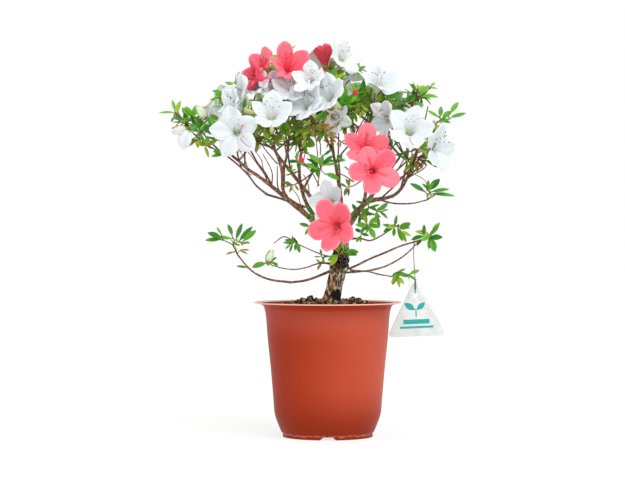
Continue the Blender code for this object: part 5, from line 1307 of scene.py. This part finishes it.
def petal_spine(length, spread, curl, steps=24):
    """The petal's middle line beyond the throat: radius, height and lean at even steps."""
    radius, height, line = THROAT_RADIUS, TUBE_LENGTH, []
    for i in range(steps + 1):
        s = i / steps
        open_by = min(1.0, s / 0.5)
        open_by = open_by * open_by * (3 - 2 * open_by)
        lean = math.radians(14) + (spread - math.radians(14)) * open_by + curl * s ** 3
        line.append((radius, height, lean))
        radius += math.sin(lean) * length / steps
        height += math.cos(lean) * length / steps
    return line


def petal_rows(length, spread, kind, rng):
    """One petal as rows of (out from the axis, sideways, up the axis)."""
    length *= rng.uniform(0.94, 1.06)
    narrow = kind == "lilac" or (shade_of(kind) == "coral" and spread < 50)
    widths, ratio, notch = PETAL_SHAPES["narrow" if narrow else shade_of(kind)]
    half_full = length * ratio / 2
    spine = petal_spine(length, math.radians(spread + rng.uniform(-9, 9)),
                        math.radians(rng.uniform(8, 42)))
    cup, ruffle = rng.uniform(-0.12, 0.10), rng.uniform(1.0, 2.4)
    phase, waves = rng.uniform(0, 6.28), rng.uniform(6.5, 10.0)
    twist = rng.uniform(-0.10, 0.10)
    columns = [2 * j / (PETAL_COLUMNS - 1) - 1 for j in range(PETAL_COLUMNS)]
    rows = [[(radius * math.cos(v * math.pi / 5), radius * math.sin(v * math.pi / 5), height)
             for v in columns] for height, radius in TUBE_RINGS]
    for i in range(PETAL_ROWS):
        row = []
        for v in columns:
            s = i / (PETAL_ROWS - 1) * (1 - notch * abs(v) ** 2.4)
            radius, height, lean = blend_at(spine, s)
            own = half_full * blend_at(widths, s)
            touch = 1.16 * radius * math.tan(math.pi / 5)
            half = (touch ** -8 + own ** -8) ** -0.125
            x = v * half
            flat = min(1.0, s / 0.4) ** 2
            out = radius * (flat + (1 - flat) * math.cos(x / radius))
            across = flat * x + (1 - flat) * radius * math.sin(x / radius)
            side = abs(v)
            # Cupped or reflexed, swollen beside the midrib with one edge over the next petal's,
            # grooved along it, finely fluted, rolled back at the rim, ruffled there and twisted
            lift = cup * half * (v * v - 0.3) * min(1, s * 2)
            lift += min(1, s * 2.5) * (0.9 * math.sin(math.pi * side) + 0.75 * v)
            lift -= math.exp(-(v / 0.17) ** 2) * math.sin(math.pi * min(1, s * 1.05))
            lift += 0.24 * math.cos(3 * math.pi * v) * math.sin(math.pi * s)
            lift -= 1.3 * side ** 3 * s
            wave = math.sin(waves * s + phase + (1.9 if v > 0 else 0))
            lift += ruffle * side ** 2 * s ** 1.2 * wave + twist * x * s
            row.append((out - math.cos(lean) * lift, across, height + math.sin(lean) * lift))
        rows.append(row)
    return rows


def shell(rows, thick):
    """A thin closed sheet from a grid of points: its verts and faces, top faces first."""
    high, wide = len(rows), len(rows[0])
    verts = [p for row in rows for p in row]
    for i in range(high):
        for j in range(wide):
            a = rows[min(i + 1, high - 1)][j] - rows[max(i - 1, 0)][j]
            b = rows[i][min(j + 1, wide - 1)] - rows[i][max(j - 1, 0)]
            verts.append(rows[i][j] - b.cross(a).normalized() * thick)
    n = high * wide
    faces = [(a, a + 1, a + 1 + wide, a + wide) for i in range(high - 1)
             for a in range(i * wide, i * wide + wide - 1)]
    faces += [(n + a, n + d, n + c, n + b) for a, b, c, d in faces]
    ring = [*range(wide), *range(2 * wide - 1, n, wide), *range(n - 2, n - wide - 1, -1),
            *range(n - 2 * wide, 0, -wide)]
    faces += [(b, a, a + n, b + n) for a, b in zip(ring, ring[1:] + ring[:1])]
    return verts, faces


def petal_tints(kind, rng):
    """A tint for every face: deep in the throat, along the midrib, the blade and its edge, which mostly
    takes a paler tint that is painted light.
    """
    main = rng.choice(KIND_TINTS[kind])
    deep, vein, edge = DEEP_TINTS[shade_of(kind)]
    if kind == "deep_coral":
        vein, edge = "deep_coral", "coral_vein"
    rows, middle = 3 + PETAL_ROWS, (PETAL_COLUMNS - 2) / 2
    rib, glow = rng.uniform(5.5, 8) * (1.5 if "coral" in kind else 1), rng.uniform(5, 7)
    names = []
    for i in range(rows):
        for off in [abs(j - middle) for j in range(PETAL_COLUMNS - 1)]:
            if i < 4 or i + off < glow:
                names.append(deep)
            elif off < 1 and i < rib:
                names.append(vein)
            else:
                names.append(edge if (off > 3.9 and i > 8) or i > rows - 2 else main)
    return names * 2 + [edge] * (2 * (rows + PETAL_COLUMNS - 1))


def petal(heap, base, face, out, rows, tints):
    """Sets one petal's rows in place round the bloom's axis; gives its rows of points."""
    across = face.cross(out)
    rows = [[base + out * r + across * x + face * h for r, x, h in row] for row in rows]
    heap.put(*shell(rows, PETAL_SHELL), tints)
    return rows


def flower(grown, bloom):
    """A whole bloom or bud: its base, heading, itself and the lines leaves keep clear of."""
    face = heading(bloom.bearing, bloom.rise)
    base = Vector(bloom.throat) - face * (TUBE_LENGTH if bloom.spread else 2)
    rng = random.Random(repr(bloom.throat))
    if not bloom.spread:
        return base, face, bloom, closed_bud(grown, bloom, base, face, rng)
    up = UP - face * UP.dot(face)
    up = up.normalized() if up.length > 0.2 else face.orthogonal().normalized()
    up = Matrix.Rotation(math.radians(-bloom.turn), 3, face) @ up
    side = face.cross(up)
    heap = grown.coral if "coral" in bloom.kind else grown.white
    heap.put(*pod(base + face * 6, face, 7.5, 2.4, 8), DEEP_TINTS[shade_of(bloom.kind)][0])
    for k, wider in enumerate(PETALS_WIDER):
        turn = math.tau * k / 5 + rng.uniform(-0.07, 0.07)
        out = up * math.cos(turn) + side * math.sin(turn)
        rows = petal(heap, base, face, out,
                     petal_rows(bloom.petal, bloom.spread + wider, bloom.kind, rng),
                     petal_tints(bloom.kind, rng))
        freckles(heap, rows, rng, FRECKLES.get(k, 0))
        if bloom.kind == "striped" and k in STRIPES:
            stripe(heap, rows, *STRIPES[k])
        if k == 3 and rng.random() < STRIPED.get(bloom.kind, 0):
            stripe(heap, rows, rng.choice((3, 4, 6, 7)), 8, rng.choice((12, 15)))
    calyx(grown, base, face)
    stamens(grown, bloom, base, face, up, side, rng)
    return base, face, bloom, [(base + face * 4, base + face * TUBE_LENGTH, THROAT_RADIUS)]


def freckles(heap, rows, rng, count):
    """Fine dark spots that run from the throat up a top petal."""
    for _ in range(count):
        i, j = rng.randint(5, 10), rng.randint(3, PETAL_COLUMNS - 5)
        a, b, c = rows[i][j], rows[i][j + 1], rows[i + 1][j]
        normal = (c - a).cross(b - a).normalized()
        spot = a + (b - a) * rng.random() + (c - a) * rng.random() + normal * PETAL_SHELL
        size = rng.uniform(0.28, 0.45)
        ways = spokes((b - a).normalized(), (c - a).normalized() * 1.4, 5)
        heap.put(*skinned(spot + normal * 0.12, [[spot + way * size for way in ways]],
                          spot - normal * 0.15), "freckle")


def stripe(heap, rows, j, first, last):
    """A thin pink streak that runs up a petal, as striped azaleas have."""
    low, grid = PETAL_SHELL - 0.15, []
    for i in range(first, last):
        p, beside = rows[i][j], rows[i][j + 1] - rows[i][j]
        normal = (rows[min(i + 1, len(rows) - 1)][j] - rows[i - 1][j]).cross(beside).normalized()
        across = beside.normalized() * 0.4
        grid.append([p - across + normal * low, p + normal * (low + 0.05),
                     p + across + normal * low])
    heap.put(*shell(grid, 0.3), "stripe")


def calyx(grown, base, face):
    """Five short downy teeth under the tube, on their stalk."""
    side = face.orthogonal().normalized()
    grown.buds.put(*pod(base - face * 2.4, face, 5.6, 2.3, 8), "calyx")
    for k in range(5):
        spoke = Matrix.Rotation(math.tau * k / 5, 3, face) @ side
        grown.buds.put(*pod(base + spoke * 1.4, (face + spoke * 0.45).normalized(), 4.4, 0.9, 5),
                       "calyx")


def stamens(grown, bloom, base, face, up, side, rng):
    """Threads that rise from the throat and bow to the top petal, each with its anther."""
    for k in range(STAMENS + 1):
        style = k == STAMENS
        reach = bloom.petal * (1.02 if style else rng.uniform(0.62, 0.86))
        fan = 0.05 if style else (k - (STAMENS - 1) / 2) / STAMENS * 1.1
        start = base + face * 7 + side * fan * 1.5
        middle = base + face * (TUBE_LENGTH + reach * 0.35) + side * fan * reach * 0.25
        middle -= up * reach * 0.10
        end = (base + face * (TUBE_LENGTH + reach * 0.72) + side * fan * reach * 0.75
               + up * reach * rng.uniform(0.28, 0.52))
        path = bow(start, middle, end, 6)
        grown.threads.put(*tube(path, [FILAMENT_RADIUS * (1.3 if style else 1)] * 7, 4),
                          "filament_coral" if "coral" in bloom.kind else "filament")
        way = (path[-1] - path[-2]).normalized()
        if style:
            grown.anthers.put(*pod(end - way * 0.4, way, 1.3, 0.75), "calyx")
        else:
            across = (way.cross(side) + way * 0.6).normalized()
            grown.anthers.put(*pod(end - across * ANTHER_LENGTH / 2, across, ANTHER_LENGTH,
                                   ANTHER_WIDTH / 2), "anther")


def closed_bud(grown, bloom, base, face, rng):
    """A bud whose petals are still rolled: a pointed spiral of overlapping scales."""
    tints = BUD_TINTS[bloom.kind]
    length, radius = bloom.petal, bloom.petal * 0.25
    side = face.orthogonal().normalized()
    grown.buds.put(*pod(base, face, length, radius, 10), tints[0])
    for k in range(5):
        spoke = Matrix.Rotation(GOLDEN * k, 3, face) @ side
        start = base + spoke * radius * 0.34 + face * (k * 0.3)
        grown.buds.put(*pod(start, (face + spoke * 0.06).normalized(), length * (0.94 - 0.05 * k),
                            radius * 0.74, 8), tints[1 + k % 2])
    if bloom.kind == "striped_bud":  # half open: a rolled red edge, and one petal hangs down
        roll = base + UP * radius * 0.75 + face * 1.5
        grown.buds.put(*pod(roll, (face + UP * 0.03).normalized(), length * 0.9, 1.7, 8), "red")
        seen = heading(-24, 4)
        hung = Vector((-0.4, 0, -1))
        hung = (hung - seen * hung.dot(seen)).normalized()
        petal(grown.white, base + Vector((5, -3, 0)) - seen * TUBE_LENGTH, seen, hung,
              petal_rows(*LOOSE_PETAL, "white", rng), petal_tints("cool", rng))
    calyx(grown, base, face)
    return [(base, base + face * length, radius + 1)]


# ---------------------------------------------------------------- tag and wire

def tag_point(x, z, y=0.0):
    """A point of the tag, from its own axes: x across and z down from its top corner."""
    turned = Matrix.Rotation(-TAG_TILT, 3, "Y") @ Vector((x, 0, -z))
    return Vector(TAG_TOP) + turned + Vector((0, y, 0))


def tag_outline(steps=9):
    """A triangle with round corners, point up, as (across, down)."""
    low, out = TAG_HEIGHT - TAG_CORNER, TAG_WIDTH / 2 - TAG_CORNER
    lean = 90 - math.degrees(math.atan2(out, TAG_HEIGHT - 2 * TAG_CORNER))
    points = []
    for x, z, first, last in ((0, TAG_CORNER, -lean, lean), (out, low, lean, 180),
                              (-out, low, 180, 360 - lean)):
        for step in range(steps + 1):
            angle = math.radians(first + (last - first) * step / steps)
            points.append((x + TAG_CORNER * math.sin(angle), z - TAG_CORNER * math.cos(angle)))
    return points


def plate(outline, low, high):
    """A flat plate between two depths."""
    n = len(outline)
    verts = [tag_point(x, z, y) for y in (low, high) for x, z in outline]
    walls = [(k, (k + 1) % n, n + (k + 1) % n, n + k) for k in range(n)]
    return verts, walls + [tuple(reversed(range(n))), tuple(range(n, 2 * n))]


def outward(bm):
    """Turns every face of a closed mesh to point out."""
    bmesh.ops.recalc_face_normals(bm, faces=bm.faces)


def box_outline(wide, low, high):
    return [(-wide, low), (wide, low), (wide, high), (-wide, high)]


def print_outlines():
    """A sprout of two leaves on a short stem, over plain bars, as (across, down) outlines."""
    shapes = [box_outline(0.6, SPROUT_LOW, SPROUT_LOW - SPROUT_STEM)]
    for lean, long in SPROUT_LEAVES:
        axis = Vector((math.sin(math.radians(lean)), -math.cos(math.radians(lean))))
        side = Vector((-axis.y, axis.x))
        foot = Vector((math.copysign(0.9, lean), SPROUT_LOW - 7.5))
        shapes.append([tuple(foot + axis * long * i / 9
                             + side * long * (way * 0.24) * math.sin(math.pi * i / 9))
                       for way, steps in ((1, range(10)), (-1, range(8, 0, -1))) for i in steps])
    return shapes + [box_outline(wide, z - tall, z + tall) for z, wide, tall in PRINT_BARS]


def make_tag():
    half = TAG_THICK / 2
    obj = reworked(mesh_object("plant_tag", *plate(tag_outline(), -half, half)), outward)
    ends = [tag_point(0, TAG_HOLE_DROP, y) for y in (-3, 3)]
    cut(obj, mesh_object("hole", *tube(ends, [TAG_HOLE_RADIUS] * 2, 28)))
    edge = obj.modifiers.new("edge", "BEVEL")
    edge.width, edge.segments, edge.limit_method = 0.18, 2, "ANGLE"
    baked(obj)
    obj.data.materials.clear()
    obj.data.materials.append(tag_plastic())
    stands(settled(obj, 30), "tag", "tag")
    heap = Heap()
    for y in (-half - PRINT_THICK, half):
        for outline in print_outlines():
            heap.put(*plate(outline, y, y + PRINT_THICK), "ink")
    ink = material("screen-printed ink, teal", "#17A3A0", 0.45)[0]
    stands(reworked(heap.piece("tag_print", {"ink": ink}, 30), outward), "tag")


def wire_path(limbs):
    """A hook over the lower right bough that runs down, through the tag and back up."""
    path, radii = limbs["lower_right_bough"]
    here = blend_at(path, WIRE_SHARE)
    turn = radii[int(WIRE_SHARE * (len(path) - 1))] + GAP + WIRE_RADIUS + 0.1
    out = [here + Vector((0, -turn, -4.5))]
    for angle in (180, 140, 90, 40, 0):
        a = math.radians(angle)
        out.append(here + Vector((0, turn * math.cos(a), turn * math.sin(a))))
    out.append(here + Vector((-0.6, 0, -14)))
    under = tag_point(0, TAG_HOLE_DROP, 0) + Vector((0, 0, TAG_HOLE_RADIUS - GAP - WIRE_RADIUS - 0.15))
    back = TAG_THICK / 2 + GAP + WIRE_RADIUS + 0.4
    return out + [under + Vector((0, y, z)) for y, z in (
        (back + 0.4, 14), (back, 2.2), (back * 0.55, 0), (-back * 0.55, 0), (-back, 2.2),
        (-back * 0.8, 12))]


def make_wire(limbs):
    """Plastic-coated binding wire, its end twisted back round itself above the tag."""
    path = wire_path(limbs)
    heap = Heap()
    heap.put(*tube(spline(path, 150), [WIRE_RADIUS] * 151, 10), "wire")
    low, high = path[-1] - Vector((0, 0, 8)), path[-1] + Vector((0, 0, 3))
    coil = []
    for i in range(60):
        angle = i / 59 * math.tau * 5
        coil.append(low.lerp(high, i / 59) + Vector((0, 0.9, 0))
                    + Vector((math.cos(angle), math.sin(angle), 0)) * 0.75)
    heap.put(*tube(coil, [0.55] * 60, 8), "sleeve")
    finishes = {"wire": material("binding wire, grey coated steel", "#6E6C70", 0.4)[0],
                "sleeve": material("binding wire, dark twisted end", "#2E2A2E", 0.5)[0]}
    stands(heap.piece("binding_wire", finishes), "wire", "tag_wire")


# ---------------------------------------------------------------- the crown

def make_crown(limbs):
    """Every mass of the crown, gathered kind by kind into a few pieces."""
    grown = Growth(limbs)
    blooms = [[flower(grown, bloom) for bloom in mass.blooms] for mass in MASSES]
    grown.know_petals()
    for mass, own in zip(MASSES, blooms):
        grow(grown, mass, random.Random(mass.seed), own)
    finishes = plain_finishes()
    stands(grown.leaves.piece("azalea_leaves", finishes), "leaf", *[mass.name for mass in MASSES])
    for heap, name, slot in ((grown.twigs, "azalea_twigs", "bark"),
                             (grown.white, "white_blooms", "white_blossom"),
                             (grown.coral, "coral_blooms", "coral_blossom"),
                             (grown.buds, "buds_and_calyces", "leaf"),
                             (grown.threads, "stamen_threads", "white_blossom"),
                             (grown.anthers, "anthers", "coral_blossom")):
        stands(heap.piece(name, finishes), slot)


# ---------------------------------------------------------------- stage, light and camera

def make_stage():
    """A plain white floor that runs on into the white of the studio."""
    corners = [(x * TABLE_HALF, y * TABLE_HALF, 0) for x, y in ((-1, -1), (1, -1), (1, 1), (-1, 1))]
    floor = mesh_object("studio_floor", corners, [(0, 1, 2, 3)])
    floor.data.materials.append(material(
        "opal acrylic light table", "#8F8F8F", 0.9, Specular_IOR_Level=0.0,
        Emission_Strength=TABLE_GLOW, Emission_Color="#FFFFFF")[0])


def make_light():
    """A white studio, dimmer than it looks, with a broad soft key from the right and above."""
    world = bpy.data.worlds.new("soft studio")
    world.use_nodes = True
    tree = world.node_tree
    fit(tree.nodes["Background"], Color="#FFFFFF",
        Strength=add(tree, "MapRange", To_Min=WORLD_LIGHT, To_Max=1.0,
                     Value=add(tree, "LightPath")))
    bpy.context.scene.world = world
    lamp = bpy.data.lights.new("key", "SUN")
    lamp.energy, lamp.angle = KEY_LIGHT, math.radians(KEY_ANGLE)
    key = placed(bpy.data.objects.new("key", lamp))
    key.rotation_euler = (-heading(*KEY_FROM)).to_track_quat("-Z", "Y").to_euler()


def make_camera():
    lens = bpy.data.cameras.new("camera")
    lens.lens, lens.sensor_width, lens.clip_end = LENS, 36, 30
    camera = placed(bpy.data.objects.new("camera", lens))
    camera.location = CAMERA_AT
    camera.rotation_euler = (math.radians(90 - CAMERA_DIP), 0, 0)
    bpy.context.scene.camera = camera
    bpy.context.scene.view_settings.view_transform = "Standard"


limbs_fine = limb_table(True)
limbs_rule = limb_table(False)
make_camera()
make_stage()
make_light()
make_pot()
make_soil()
make_crown(limbs_rule)
make_limbs(limbs_fine)
make_tag()
make_wire(limbs_rule)
